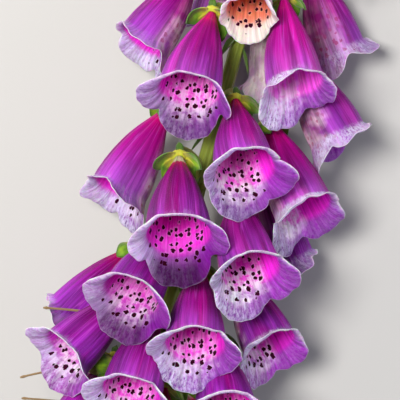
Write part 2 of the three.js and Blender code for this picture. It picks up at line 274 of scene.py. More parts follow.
class Skin:
    """Closed surfaces gathered into one mesh, with four vectors kept for its material.

    place is what part of the surface a point belongs to, and flat is where it lies on the unrolled
    surface in millimetres. tone holds what differs from one flower to the next, and mood the same for
    the whole mesh.
    """

    def __init__(self) -> None:
        """Starts an empty mesh."""
        self.points: list[Array] = []
        self.quads: list[Array] = []
        self.triangles: list[Array] = []
        self.place: list[Array] = []
        self.tone: list[Array] = []
        self.mood = (0.5, 0.5, 0.0)
        self.quad_flats: list[Array] = []
        self.triangle_flats: list[Array] = []
        self.count = 0

    def loft(self, rings: Array, place: Array, flat: Array, tone: Array) -> None:
        """Adds a closed body through a row of closed rings, capped at both ends.

        Args:
            rings: Points in millimetres, by ring, place on the ring and axis.
            place: What part each point belongs to, shaped as rings.
            flat: The unrolled surface in millimetres, with one more column than rings.
            tone: The flower's own vector, shaped as rings or broadcast to it.
        """
        rows, columns, _ = rings.shape
        ends = np.stack([rings[0].mean(0), rings[-1].mean(0)])
        body = np.concatenate([rings.reshape(-1, 3), ends])
        row, column = np.meshgrid(np.arange(rows - 1), np.arange(columns), indexing="ij")
        after = (column + 1) % columns
        quads = np.stack(
            [row * columns + column, row * columns + after,
             (row + 1) * columns + after, (row + 1) * columns + column], -1
        ).reshape(-1, 4)
        quad_flats = np.stack(
            [flat[row, column], flat[row, column + 1],
             flat[row + 1, column + 1], flat[row + 1, column]], 2
        ).reshape(-1, 4, 3)
        first, last = np.arange(columns), (rows - 1) * columns + np.arange(columns)
        first_end, last_end = rows * columns, rows * columns + 1
        turned = np.roll(np.arange(columns), -1)
        triangles = np.concatenate([
            np.stack([np.full(columns, first_end), first[turned], first], -1),
            np.stack([np.full(columns, last_end), last, last[turned]], -1),
        ])
        caps = np.concatenate([
            np.stack([flat[0, :-1], flat[0, 1:], flat[0, :-1]], 1),
            np.stack([flat[-1, :-1], flat[-1, :-1], flat[-1, 1:]], 1),
        ])
        halves = np.concatenate([quads[:, :3], quads[:, [0, 2, 3]], triangles])
        a, b, c = (body[halves[:, i]] - ends[0] for i in range(3))
        if np.einsum("ij,ij->", a, np.cross(b, c)) < 0:
            quads, quad_flats = quads[:, ::-1], quad_flats[:, ::-1]
            triangles, caps = triangles[:, ::-1], caps[:, ::-1]
        per_point = [np.broadcast_to(values, rings.shape) for values in (place, tone)]
        for store, values in zip((self.place, self.tone), per_point):
            store.append(np.concatenate([values.reshape(-1, 3), [values[0].mean(0), values[-1].mean(0)]]))
        self.points.append(body)
        self.quads.append(quads + self.count)
        self.triangles.append(triangles + self.count)
        self.quad_flats.append(quad_flats)
        self.triangle_flats.append(caps)
        self.count += len(body)

    def sheet(self, middle: Array, thickness: Array | float, place: Array, flat: Array, tone: Array) -> None:
        """Adds a thin closed leaf round a middle surface.

        Args:
            middle: Points of the middle surface in millimetres, by row and place across.
            thickness: Its thickness in millimetres, for each point or for all.
            place: What part each point belongs to, shaped as middle.
            flat: The unrolled surface in millimetres, shaped as middle.
            tone: The flower's own vector, shaped as middle or broadcast to it.
        """
        normal = unit(np.cross(np.gradient(middle, axis=0), np.gradient(middle, axis=1)))
        half = np.broadcast_to(thickness, middle.shape[:2])[..., None] / 2
        over, under = middle + normal * half, middle - normal * half
        tone = np.broadcast_to(tone, middle.shape)

        def around(top: Array, bottom: Array) -> Array:
            """Joins a top and a bottom surface into rings."""
            return np.concatenate([top, bottom[:, ::-1]], 1)

        flats = around(flat, flat)
        self.loft(around(over, under), around(place, place),
                  np.concatenate([flats, flats[:, :1]], 1), around(tone, tone))

    def tube(self, path: Array, radii: Array | float, sides: int, tone: Array, part: float = 0.0) -> None:
        """Adds a round tapered tube.

        Args:
            path: The tube's centre line, in millimetres.
            radii: Its radius at each point of the path, or everywhere, in millimetres.
            sides: How many points go round it.
            tone: The flower's own vector.
            part: What place keeps in its third number.
        """
        radii = np.broadcast_to(radii, len(path))
        heading = unit(np.gradient(path, axis=0))
        across = np.empty_like(heading)
        guide = np.array([0.31, 0.17, 0.93])  # along no tube, and carried on from point to point
        for i, way in enumerate(heading):
            guide = unit(guide - way * np.dot(guide, way))
            across[i] = guide
        other = np.cross(heading, across)
        turn = np.linspace(0, 2 * math.pi, sides, endpoint=False)
        off = across[:, None] * np.cos(turn)[:, None] + other[:, None] * np.sin(turn)[:, None]
        rings = path[:, None] + off * radii[:, None, None]
        length = np.concatenate([[0], np.cumsum(np.linalg.norm(np.diff(path, axis=0), axis=1))])
        share = length / max(length[-1], 1e-6)
        place = vectors(np.cos(turn), share[:, None], part)
        flat = vectors(circle(sides) * radii[:, None], length[:, None], 0.0)
        self.loft(rings, place, flat, tone)

    def piece(self, name: str, material: Material, slot: Slot, stands_for: tuple[str, ...] = ()) -> Piece:
        """Makes the Blender object.

        Args:
            name: The piece's name.
            material: Its finish.
            slot: Not used.
            stands_for: The solid nodes that it replaces.

        Returns:
            The new object, riding on the one body.
        """
        mesh = bpy.data.meshes.new(name)
        quads, triangles = np.concatenate(self.quads), np.concatenate(self.triangles)
        points = np.concatenate(self.points) * MM
        mesh.from_pydata(points.tolist(), [], quads.tolist() + triangles.tolist())
        flats = np.concatenate([
            np.concatenate(self.quad_flats).reshape(-1, 3),
            np.concatenate(self.triangle_flats).reshape(-1, 3),
        ])
        kept = (("place", "POINT", self.place), ("tone", "POINT", self.tone), ("flat", "CORNER", [flats]))
        for label, domain, values in kept:
            made = mesh.attributes.new(label, "FLOAT_VECTOR", domain)
            made.data.foreach_set("vector", np.concatenate(values).astype(np.float32).ravel())
        made = mesh.attributes.new("mood", "FLOAT_VECTOR", "POINT")
        made.data.foreach_set("vector", np.tile(np.array(self.mood, np.float32), self.count))
        mesh.shade_smooth()
        mesh.materials.append(material)
        piece = bpy.data.objects.new(name, mesh)
        bpy.context.scene.collection.objects.link(piece)
        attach(piece, BODY)
        if stands_for:
            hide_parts(*stands_for)
        LOG.info("%s: %d points, %d faces", name, len(points), len(quads) + len(triangles))
        return piece


def press(points: Array, depth: float = 15.0, clearance: float = 0.3) -> Array:
    """Bends up what would sink into the table.

    Args:
        points: Points in millimetres.
        depth: Only points lower than this are bent.
        clearance: The height that the lowest point keeps.

    Returns:
        The points, with the lowest one at the clearance if it was lower.
    """
    lowest = points[..., 2].min() - clearance
    if lowest >= 0:
        return points
    bend = -lowest / (depth - lowest) ** 2
    raised = points.copy()
    raised[..., 2] += bend * np.maximum(depth - points[..., 2], 0) ** 2
    return raised


# ---------------------------------------------------------------- where things grow


def solid_points(node: str) -> Array:
    """Returns the distinct corner points of a solid node, in millimetres."""
    points = np.array([v.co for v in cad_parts[node].data.vertices]) / MM
    return np.unique(np.round(points, 3), axis=0)


@dataclass(frozen=True)
class StemLine:
    """The stem's centre line from the cut end to the tip, in the solid part's own millimetres."""

    knots: tuple[tuple[float, float, float], ...] = (
        (3, -195, 3.9), (2, -160, 8), (1, -125, 18), (0, -95, 25.5), (0, -60, 28),
        (-1, 0, 28), (-1, 50, 28), (0, 100, 28), (1, 145, 27), (4, 186, 23),
    )
    first_flower: float = -60.0  # how far up the stem the flowering stretch starts
    cut_radius: float = 3.9
    flowering_radius: float = 3.0
    tip_radius: float = 1.0
    taper: float = 2.2  # how late the flowering stretch thins: 1 is evenly along it

    @property
    def cut_end(self) -> float:
        """How far up the stem it was cut."""
        return self.knots[0][1]

    @property
    def tip(self) -> float:
        """How far up the stem it ends."""
        return self.knots[-1][1]

    @cached_property
    def shift(self) -> Array:
        """Where the frame put the part's own origin, which is read off the cut end.

        Returns:
            The origin's place in millimetres.
        """
        points = np.round(solid_points("stem"), 2)
        ring = points[points[:, 1] < points[:, 1].min() + 2]
        return (ring.min(0) + ring.max(0)) / 2 - np.array(self.knots[0])

    def centre(self, along: Array | float) -> Array:
        """Follows a smooth curve through the knots.

        Args:
            along: How far up the stem, in millimetres.

        Returns:
            The stem's centre there, in the frame's millimetres.
        """
        knots = np.array(self.knots, float)
        steps = knots[:, 1]
        slopes = np.gradient(knots, steps, axis=0)
        place = np.clip(np.asarray(along, float), steps[0], steps[-1])
        i = np.clip(np.searchsorted(steps, place) - 1, 0, len(steps) - 2)
        width = steps[i + 1] - steps[i]
        s = ((place - steps[i]) / width)[..., None]
        width = width[..., None]
        return (
            knots[i] * (1 + 2 * s) * (1 - s) ** 2 + knots[i + 1] * s * s * (3 - 2 * s)
            + slopes[i] * width * s * (1 - s) ** 2 + slopes[i + 1] * width * s * s * (s - 1)
            + self.shift
        )

    def radius(self, along: Array | float) -> Array:
        """Works out how thick the stem is.

        Args:
            along: How far up the stem, in millimetres.

        Returns:
            Its radius there.
        """
        along = np.asarray(along, float)
        bare = (along - self.cut_end) / (self.first_flower - self.cut_end)
        flowering = np.clip((along - self.first_flower) / (self.tip - self.first_flower), 0, 1)
        low = self.cut_radius + (self.flowering_radius - self.cut_radius) * bare
        high = self.flowering_radius + (self.tip_radius - self.flowering_radius) * flowering**self.taper
        return np.where(along < self.first_flower, low, high)


STEM_LINE = StemLine()


@dataclass(frozen=True)
class Seat:
    """The place of a flower, bud or capsule: the middle of its base, its directions and its size."""

    base: Array
    axis: Array
    back: Array
    size: float = 1.0
    bend: Array = field(default_factory=lambda: np.zeros(3))  # where the mouth turns; its length is the angle

    @property
    def side(self) -> Array:
        """The direction across the back, to the right for whoever looks into the bell."""
        return np.cross(self.back, self.axis)

    @property
    def along(self) -> float:
        """How far up the stem it grows."""
        return float(self.base[1] - STEM_LINE.shift[1])

    @property
    def off(self) -> Array:
        """The direction in which it stands off the stem."""
        return unit(self.base - STEM_LINE.centre(self.along))

    def placed(self, depth: Array, radius: Array, turn: Array | float) -> Array:
        """Turns places on the flower into points.

        Args:
            depth: Distance from the base along the axis, at full size.
            radius: Distance from the axis, at full size.
            turn: The turn from the back, in radians.

        Returns:
            Points in millimetres.
        """
        depth, radius, turn = (part[..., None] for part in np.broadcast_arrays(depth, radius, turn))
        across = radius * np.cos(turn) * self.back + radius * np.sin(turn) * self.side
        angle = float(np.linalg.norm(self.bend))
        if angle < 1e-6:
            return self.base + self.size * (depth * self.axis + across)
        toward = unit(self.bend)
        share = np.clip(depth / BEND_LENGTH, 0, 1)
        past = np.maximum(depth - BEND_LENGTH, 0)
        turned = angle * share**2
        sideways = BEND_LENGTH * angle * share**3 / 3 + past * math.sin(angle)
        forward = BEND_LENGTH * (share - angle**2 * share**5 / 10) + past * math.cos(angle)
        forward = np.where(depth < 0, depth, forward)
        near = (across @ toward)[..., None]
        return self.base + self.size * (
            toward * (sideways + near * np.cos(turned)) + (across - near * toward)
            + self.axis * (forward - near * np.sin(turned))
        )

    def posed(self, lift: float, swing: float, roll: float) -> "Seat":
        """Turns the mouth and leaves the base where it is.

        Args:
            lift: Degrees that the tube bends up off the table.
            swing: Degrees that it bends to the right, seen from above.
            roll: Degrees that the back turns round the axis, to the right for whoever looks in.

        Returns:
            The turned seat.
        """
        wish = TABLE_UP * math.radians(lift) + PLUMB_SIDE * math.radians(swing)
        bend = wish - self.axis * np.dot(wish, self.axis)
        angle = math.radians(roll)
        return replace(self, back=self.back * math.cos(angle) + self.side * math.sin(angle), bend=bend)

    @staticmethod
    def grown(along: float, reach: float, around: float, face: float, nod: float, size: float) -> "Seat":
        """Sets a seat beside the stem.

        Args:
            along: How far up the stem it grows, in millimetres.
            reach: How far its base stands off the stem's axis.
            around: In which direction, in degrees from straight up off the table.
            face: Which way it looks round the plumb line, in degrees.
            nod: How far it hangs below level, in degrees.
            size: Its size.

        Returns:
            The seat.
        """
        around, face, nod = (math.radians(angle) for angle in (around, face, nod))
        off = TABLE_UP * math.cos(around) + np.array([math.sin(around), 0, 0])
        outward = TABLE_UP * math.cos(face) + PLUMB_SIDE * math.sin(face)
        axis = -PLUMB_UP * math.sin(nod) + outward * math.cos(nod)
        upper = PLUMB_UP * math.cos(nod) + outward * math.sin(nod)
        return Seat(STEM_LINE.centre(along) + off * reach, axis, upper, size)


# ---------------------------------------------------------------- the bell


@dataclass(frozen=True)
class Habit:
    """What sets one bell apart from the next.

    pale runs from -1, a bell of hotter pink with a painted lilac sheen by its mouth, over 0, full magenta
    with a plum mouth, to 1, a young creamy bell with a peach throat. Under -0.6 its inside gets a painted
    glow.
    """

    pale: float = 0.0
    left: float = 0.0  # degrees that the lobe on the left folds out further
    right: float = 0.0  # the same for the lobe on the right
    left_length: float = 1.0  # how long that lobe is, against a plain bell's
    right_length: float = 1.0
    lower: float = 0.0  # degrees that the lower lobe hangs out further
    lower_length: float = 1.0
    web: float = 0.0  # how far the notches between the lobes are filled, in millimetres
    blanch: float = 0.5  # how white the spotted patch is, and how pale and blotched the underside
    frost: float = 0.5  # how silvery the lobes are; a bell over 1.2 has no spots
    lobe_shade: float = 0.0  # how much painted shade darkens the lower lobe; over 0.7 the tube is darker too
    nick: float = 0.0  # where the rim is nicked, in degrees from the back; 0 for nowhere
    lift: float = 0.0  # degrees that the mouth turns up off the table
    swing: float = 0.0  # degrees that the mouth turns to the right, seen from above
    roll: float = 0.0  # degrees that the lobes turn round the axis


# The bells that face up from the table, each as it opened. The others take what chance gives them.
HABITS = {
    4: Habit(web=1.5, left=4, right=12, blanch=0.9, frost=0.9, lift=24, swing=-3),
    5: Habit(web=1.8, pale=-0.15, left=8, right=4, blanch=0.8, frost=0.9),
    6: Habit(web=2.6, pale=0.15, left=12, right=2, blanch=0.85, frost=0.75, lobe_shade=0.25),
    7: Habit(web=1.5, left=6, right=6, blanch=0.5, frost=0.7, lift=4),
    8: Habit(web=2.0, pale=-0.25, left=8, right=6, left_length=1.08, blanch=0.6, frost=0.9, roll=5),
    9: Habit(web=2.4, left=14, left_length=1.12, right=-2, blanch=1.0, frost=0.9, lift=24, swing=-2),
    10: Habit(
        web=2.4, pale=0.12, left=6, right=4, right_length=1.08, blanch=0.7, frost=0.6, lobe_shade=0.85,
        swing=5,
    ),
    11: Habit(
        web=1.8, pale=-0.15, left=4, right=10, right_length=1.12, lower=4, blanch=1.0, frost=0.95,
        swing=9, roll=13,
    ),
    12: Habit(web=0.5, pale=-0.12, left=2, blanch=0.09, frost=1.1, lobe_shade=1.0, swing=2),
    13: Habit(
        web=1.5, left=10, left_length=1.15, right=-4, blanch=0.6, frost=0.4, swing=-4, roll=-5,
    ),
    14: Habit(
        web=2.6, pale=-0.5, left=12, left_length=1.15, right=-6, blanch=0.9, frost=1.0, lift=13,
        swing=4,
    ),
    15: Habit(
        web=1.6, pale=-0.6, left=6, right=14, right_length=1.1, blanch=1.0, frost=1.4, lift=15,
        swing=4,
    ),
    16: Habit(
        web=1.5, pale=-0.25, left=6, right=10, right_length=1.14, blanch=1.0, frost=0.62, lobe_shade=0.3,
        nick=52, swing=9, roll=14,
    ),
    17: Habit(web=1.2, pale=-0.2, left=4, right=4, blanch=0.7, frost=0.9, lift=10),
    18: Habit(
        web=1.0, pale=-0.3, left=12, left_length=1.15, right=-24, right_length=1.12, blanch=0.75,
        frost=0.5, lobe_shade=0.6, swing=5, roll=8,
    ),
    19: Habit(
        web=2.8, pale=-0.9, left=-24, left_length=0.75, right=8, right_length=0.9, lower_length=1.12,
        blanch=0.6, frost=1.4, lift=9, swing=5, roll=30,
    ),
    20: Habit(web=1.6, pale=-0.2, left=8, right=-4, blanch=0.6, frost=1.0, lift=10),
    21: Habit(pale=0.6, left=4, right=8, blanch=1.0, frost=0.8),
    22: Habit(
        pale=0.85, left=-34, right=-34, left_length=0.7, right_length=0.7, lower=-8, lower_length=0.85,
    ),
    23: Habit(web=1.5, pale=-0.3, left=4, right=8, blanch=0.3, frost=0.5),
    24: Habit(pale=0.25, left=4, right=6, blanch=1.0, frost=0.6),
    25: Habit(pale=0.7, left=-10, right=-10),
    26: Habit(pale=0.9, left=-14, right=-14, left_length=0.8, right_length=0.8),
    27: Habit(pale=0.75, left=-10, right=-10),
}


def habit_of(number: int, size: float) -> Habit:
    """Returns what sets a bell apart, from HABITS or by chance.

    Args:
        number: The flower's number.
        size: Its size: a small bell is young and pale.

    Returns:
        The bell's habit.
    """
    if number in HABITS:
        return HABITS[number]
    rng = Chance.HABIT.numbers(number)
    return Habit(
        pale=YOUTH if size < SMALL_BELL else float(rng.uniform(0, 0.12)),
        left=float(rng.uniform(-6, 16)),
        right=float(rng.uniform(-6, 16)),
        left_length=float(rng.uniform(0.95, 1.12)),
        right_length=float(rng.uniform(0.95, 1.12)),
        lower=float(rng.uniform(-8, 10)),
        blanch=float(rng.uniform(0.3, 0.9)),
        frost=float(rng.uniform(0.3, 0.8)),
    )


@dataclass(frozen=True)
class BellShape:
    """The bell's sizes at full size, as its solid has them, and the fine shape of its petals."""

    tube: float = 36.0
    base_radius: float = 2.6
    mouth_radius: float = 12.3
    swell: float = 0.95
    belly: float = 0.06  # how much further the tube bulges underneath than on its back, as a share
    belly_from: float = 20.0  # depth where it has all of that bulge
    back_longer: float = 1.2  # how much further the tube reaches on its back
    floor: float = 1.5  # depth where the hollow starts
    dorsal: float = 2.4  # how far the rim reaches past the tube on its back
    notch: float = 7.4  # the same in the notches between the lobes
    lateral: float = 10.2  # and at the ends of the side lobes and of the lower lobe
    ventral: float = 13.8
    lateral_half: float = 0.62  # half of a side lobe's width, in radians round the axis
    ventral_half: float = 0.95
    fold_start: float = 6.0  # degrees off the axis where a lobe starts, and then at its rim
    fold_back: float = 98.0
    fold_side: float = 62.0
    fold_bottom: float = 22.0
    solid_wall: float = 0.8
    flare: float = 1.3  # how late the lobes fold out: 1 is evenly along them
    waist: float = 0.0  # how much narrower than the solid the tube stays at its mouth, in millimetres
    waist_from: float = 12.0  # depth where it starts to be narrower
    waist_to: float = 34.0  # depth where it is narrower by all of that
    tube_wall: float = 0.55
    lobe_wall: float = 0.42
    rim_wall: float = 0.22
    around: int = 108
    tube_rings: int = 30
    lobe_rings: int = 20
    flute: float = 0.5  # height of the lengthwise ribs on the back
    crumple: float = 0.22  # unevenness of the tube
    frill: float = 0.95  # height of the waves at the rim
    curl: float = 26.0  # degrees that the last of the rim rolls back
    curl_width: float = 1.6  # how much of the rim does

    def tube_radius(self, depth: Array) -> Array:
        """Works out how wide the tube is.

        Args:
            depth: Depths from the tube's base.

        Returns:
            Its radius there, without the narrowing of the petals.
        """
        share = np.clip(np.asarray(depth, float) / self.tube, 0, 1)
        grown = np.sin(math.pi / 2 * share**self.swell)
        return self.base_radius + (self.mouth_radius - self.base_radius) * grown

    def narrowing(self, depth: Array) -> Array:
        """Returns how much narrower than the solid the tube is at depths from its base."""
        return self.waist * smoothstep(depth, self.waist_from, self.waist_to)

    def thickness(self, way: Array, rim: Array) -> Array:
        """Returns how thick the petal is.

        Args:
            way: Share of the way along, 1 at the mouth.
            rim: Distance from the rim in millimetres.

        Returns:
            Thicknesses in millimetres.
        """
        thick = self.lobe_wall + (self.tube_wall - self.lobe_wall) * smoothstep(-way, -1.2, -0.9)
        return self.rim_wall + (thick - self.rim_wall) * smoothstep(rim, 0.0, 1.4)

    def lobe_length(self, turn: Array, habit: Habit = Habit()) -> Array:
        """Returns the lobe's length past the tube.

        Args:
            turn: Turns from the bell's back, in radians.
            habit: What is special about this bell.

        Returns:
            Lengths in millimetres at full size.
        """
        around = np.arctan2(np.sin(turn), np.cos(turn))
        off = np.abs(around)
        notch = self.notch + habit.web
        skirt = (notch - self.dorsal) * smoothstep(off, 0.65, 1.25)
        longer = np.where(around > 0, habit.right_length, habit.left_length)
        side = (self.lateral * longer - notch) * hump((off - math.pi / 2) / self.lateral_half)
        bottom = (self.ventral * habit.lower_length - notch) * hump((off - math.pi) / self.ventral_half)
        return self.dorsal + skirt + side + bottom

    def fold(self, turn: Array, habit: Habit) -> Array:
        """Returns how far the rim folds out at its end.

        Args:
            turn: Turns from the bell's back, in radians.
            habit: What is special about this bell.

        Returns:
            Angles from the bell's axis in degrees.
        """
        above = np.cos(turn)
        steeper = np.where(above > 0, self.fold_back - self.fold_side, self.fold_side - self.fold_bottom)
        return (
            self.fold_side + above * steeper
            + habit.left * bump_at(turn, -math.pi / 2, 0.45)
            + habit.right * bump_at(turn, math.pi / 2, 0.45)
            + habit.lower * bump_at(turn, math.pi, 0.6)
        )

    def wall(
        self, turn: Array, habit: Habit, curl: float = 0.0, outline: Array | float = 0.0
    ) -> tuple[Array, Array, Array, Array]:
        """Works out the middle of the bell's wall, ring by ring.

        Args:
            turn: Turns from the bell's back, in radians.
            habit: What is special about this bell.
            curl: Degrees that the last of the rim rolls back.
            outline: How much further the lobes reach at each turn, in millimetres.

        Returns:
            Depth, radius, distance from the rim and share of the way (1 at the mouth, 2 at the
            rim), each by ring and turn.
        """
        above = np.cos(turn)[None]
        depth = (self.tube * np.linspace(0, 1, self.tube_rings) ** 0.85)[:, None]
        settled = np.clip(depth / self.belly_from, 0, 1)
        radius = self.tube_radius(depth) * (1 - self.belly * above * settled)
        radius = radius - self.narrowing(depth)
        reach = depth + self.back_longer * depth * (1 + above) / 2 / self.tube
        fine = 4  # steps of the walk along a lobe for each of its rings
        steps = self.lobe_rings * fine
        share = ((np.arange(steps) + 0.5) / steps)[:, None]
        length = (self.lobe_length(turn, habit) + outline)[None]
        left = (1 - share) * length
        angle = np.radians(
            self.fold_start + (self.fold(turn, habit)[None] - self.fold_start) * share**self.flare
            + curl * smoothstep(-left, -self.curl_width, 0.0) * (0.4 + 0.6 * (1 - above) / 2)
        )
        walked = np.cumsum(np.cos(angle) * length / steps, axis=0)[fine - 1 :: fine]
        spread = np.cumsum(np.sin(angle) * length / steps, axis=0)[fine - 1 :: fine]
        shares = np.arange(1, self.lobe_rings + 1)[:, None] / self.lobe_rings
        rim = np.concatenate([self.tube - depth + length, (1 - shares) * length])
        way = np.concatenate([depth / self.tube + 0 * above, 1 + shares + 0 * above])
        return (
            np.concatenate([reach, reach[-1:] + walked]),
            np.concatenate([radius, radius[-1:] + spread]),
            rim,
            way,
        )


SHAPE = BellShape()
LIVING = replace(
    SHAPE, swell=1.12, base_radius=1.3, flare=0.8, waist=1.0, dorsal=3.4, notch=5.5, lateral=10.0,
    ventral_half=0.86, fold_start=9.0, fold_back=78.0, fold_side=74.0, fold_bottom=34.0,
)


def bell_seat(number: int) -> Seat:
    """Reads the place of a bell off its solid.

    The flat base of the solid gives the bell's place, axis and size. Its turn is the one at which
    the rim of a plain bell falls on the solid's corners.

    Args:
        number: The flower's number in the node names.

    Returns:
        The bell's seat.
    """
    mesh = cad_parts[f"corolla_{number:02d}"].data
    low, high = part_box(f"calyx_{number:02d}")
    calyx = np.array((low + high) / 2) / MM
    centres = np.array([p.center for p in mesh.polygons]) / MM
    normals = np.array([p.normal for p in mesh.polygons])
    points = solid_points(f"corolla_{number:02d}")
    outward = unit(points.mean(0) - calyx)
    facing = np.where(np.linalg.norm(centres - calyx, axis=1) < 9, normals @ outward, 2)
    first = int(np.argmin(facing))
    flush = np.abs((centres - centres[first]) @ normals[first]) < 0.4
    members = np.flatnonzero(flush & (normals @ normals[first] > 0.98) & (facing < 2))
    corners = np.array([mesh.vertices[i].co for m in members for i in mesh.polygons[m].vertices]) / MM
    ring = np.unique(np.round(corners, 2), axis=0)
    axis = -unit(normals[members].mean(0))
    middle = ring.mean(0)
    base = (ring[np.linalg.norm(ring - middle, axis=1) > 1.5]).mean(0)
    outer = np.linalg.norm(ring - base, axis=1).max()
    size = (outer - SHAPE.solid_wall / 2) / SHAPE.base_radius
    start = unit(PLUMB_UP - axis * np.dot(PLUMB_UP, axis))
    across = np.cross(axis, start)
    turn = np.linspace(0, 2 * math.pi, 12, endpoint=False)
    depth, radius, _, way = SHAPE.wall(turn, Habit())
    stations = [int(np.argmin(np.abs(way[:, 0] - share))) for share in (1.0, 1.5, 2.0)]

    def misfit(roll: float) -> float:
        """Tries a plain bell on the solid.

        Args:
            roll: The bell's turn round its axis, in radians.

        Returns:
            How far its rim lies from the solid's corners, summed.
        """
        back = start * math.cos(roll) + across * math.sin(roll)
        tried = press(Seat(base, axis, back, size).placed(depth[stations], radius[stations], turn))
        gaps = np.linalg.norm(tried.reshape(-1, 1, 3) - points[None], axis=2)
        return float(gaps.min(1).sum())

    roll = min(np.radians(np.arange(0, 360, 1.0)), key=misfit)
    return Seat(base, axis, start * math.cos(roll) + across * math.sin(roll), size)


@dataclass
class Bell:
    """One corolla: a fluted tube with a short upper lip, two side lobes and a long lower lobe."""

    number: int
    seat: Seat
    habit: Habit
    shape: BellShape = LIVING
    rib_turns: tuple[float, ...] = (-128, -86, -47, -17, 12, 44, 84, 126)  # degrees from the back
    rib_width: float = 0.095  # radians round the axis
    nick_depth: float = 2.2
    nick_width: float = 0.07  # radians round the axis

    def build(self, finish: Material) -> Piece:
        """Grows the bell.

        Args:
            finish: The petals' material.

        Returns:
            The piece that stands for the solid bell.
        """
        shape, seat, size = self.shape, self.seat, self.seat.size
        rng = Chance.BELL.numbers(self.number)
        turn = np.linspace(0, 2 * math.pi, shape.around, endpoint=False)
        depth, radius, rim, way = shape.wall(turn, self.habit, shape.curl, self.outline(turn))
        radius = radius + self.ribs(rng, turn[None], way)
        middle = seat.placed(depth, radius, turn[None])
        normal = self.normals(middle)
        path = np.minimum(way, 1) * shape.tube + np.maximum(way - 1, 0) * shape.lobe_length(turn)[None]
        uneven = shape.crumple * smoothstep(way, 0.15, 0.5) * ripples(rng, turn[None], path, 4)
        waves = wavy(rng, turn, ((3, 0.35), (5, 0.5), (7, 0.45), (11, 0.22), (16, 0.1)), 0.6, 1.2)
        waves = waves[None] * shape.frill * smoothstep(-rim, -7.0, 0.5) ** 1.5
        quiet = 1 - 0.6 * bump_at(turn, 0.0, 0.5)[None]
        middle = press(middle + normal * ((uneven + waves) * quiet)[..., None])
        half = self.normals(middle) * shape.thickness(way, rim)[..., None] / 2
        outside, inside = middle + half, middle - half
        edge = middle[-1:] + unit(middle[-1:] - middle[-2:-1]) * shape.rim_wall * 0.5
        start = int(np.argmax(way[:, 0] * shape.tube > shape.floor))
        lining = np.r_[start : shape.tube_rings : 2, shape.tube_rings : len(way)][::-1]
        rings = np.concatenate([outside, edge, inside[lining]])
        order = np.r_[0 : len(way), len(way) - 1, lining]
        within = np.r_[np.zeros(len(way)), 0.5, np.ones(len(lining))]
        place = vectors(np.cos(turn)[None], way[order], within[:, None])
        tone = vectors(rim[order] * size, self.habit.pale, np.sin(turn)[None])
        unrolled = circle(shape.around) - math.pi
        closed = np.concatenate([path, path[:, :1]], 1)
        seed = rng.uniform(0, 40)
        flat = vectors(unrolled[None] * shape.mouth_radius * size, closed[order] * size, seed)
        skin = Skin()
        skin.mood = (self.habit.blanch, self.habit.frost, self.habit.lobe_shade)
        skin.loft(rings, place, flat, tone)
        return skin.piece(f"bell_{self.number:02d}", finish, Slot.COROLLA, (f"corolla_{self.number:02d}",))

    def normals(self, surface: Array) -> Array:
        """Returns the directions out of a closed surface, by ring and turn."""
        around = np.roll(surface, -1, 1) - np.roll(surface, 1, 1)
        return unit(np.cross(np.gradient(surface, axis=0), around))

    def ribs(self, rng: np.random.Generator, turn: Array, way: Array) -> Array:
        """Raises the lengthwise ribs on the tube, highest on its back.

        Args:
            rng: The source of their places.
            turn: Turns from the bell's back, in radians.
            way: Share of the way along, 1 at the mouth.

        Returns:
            How far out each point moves, in millimetres.
        """
        height = np.zeros(np.broadcast(turn, way).shape)
        for middle in np.radians(self.rib_turns):
            place = middle + rng.uniform(-0.09, 0.09)
            strength = rng.uniform(0.55, 1.0) * (0.55 + 0.45 * math.cos(place))
            height = height + strength * bump_at(turn, place, self.rib_width)
        along = smoothstep(way, 0.05, 0.3) * (1 - 0.75 * smoothstep(way, 0.65, 1.25))
        return self.shape.flute * (height - 0.3) * along

    def outline(self, turn: Array) -> Array:
        """Cuts the rim unevenly, with a nick if the bell has one.

        Args:
            turn: Turns from the bell's back, in radians.

        Returns:
            How much further out the rim lies at each turn, in millimetres.
        """
        rng = Chance.RIM.numbers(self.number)
        total = wavy(rng, turn, ((4, 0.36), (7, 0.32), (11, 0.26), (17, 0.18), (26, 0.14)), 0.5, 1.3)
        if self.habit.nick:
            total = total - self.nick_depth * bump_at(turn, math.radians(self.habit.nick), self.nick_width)
        return total


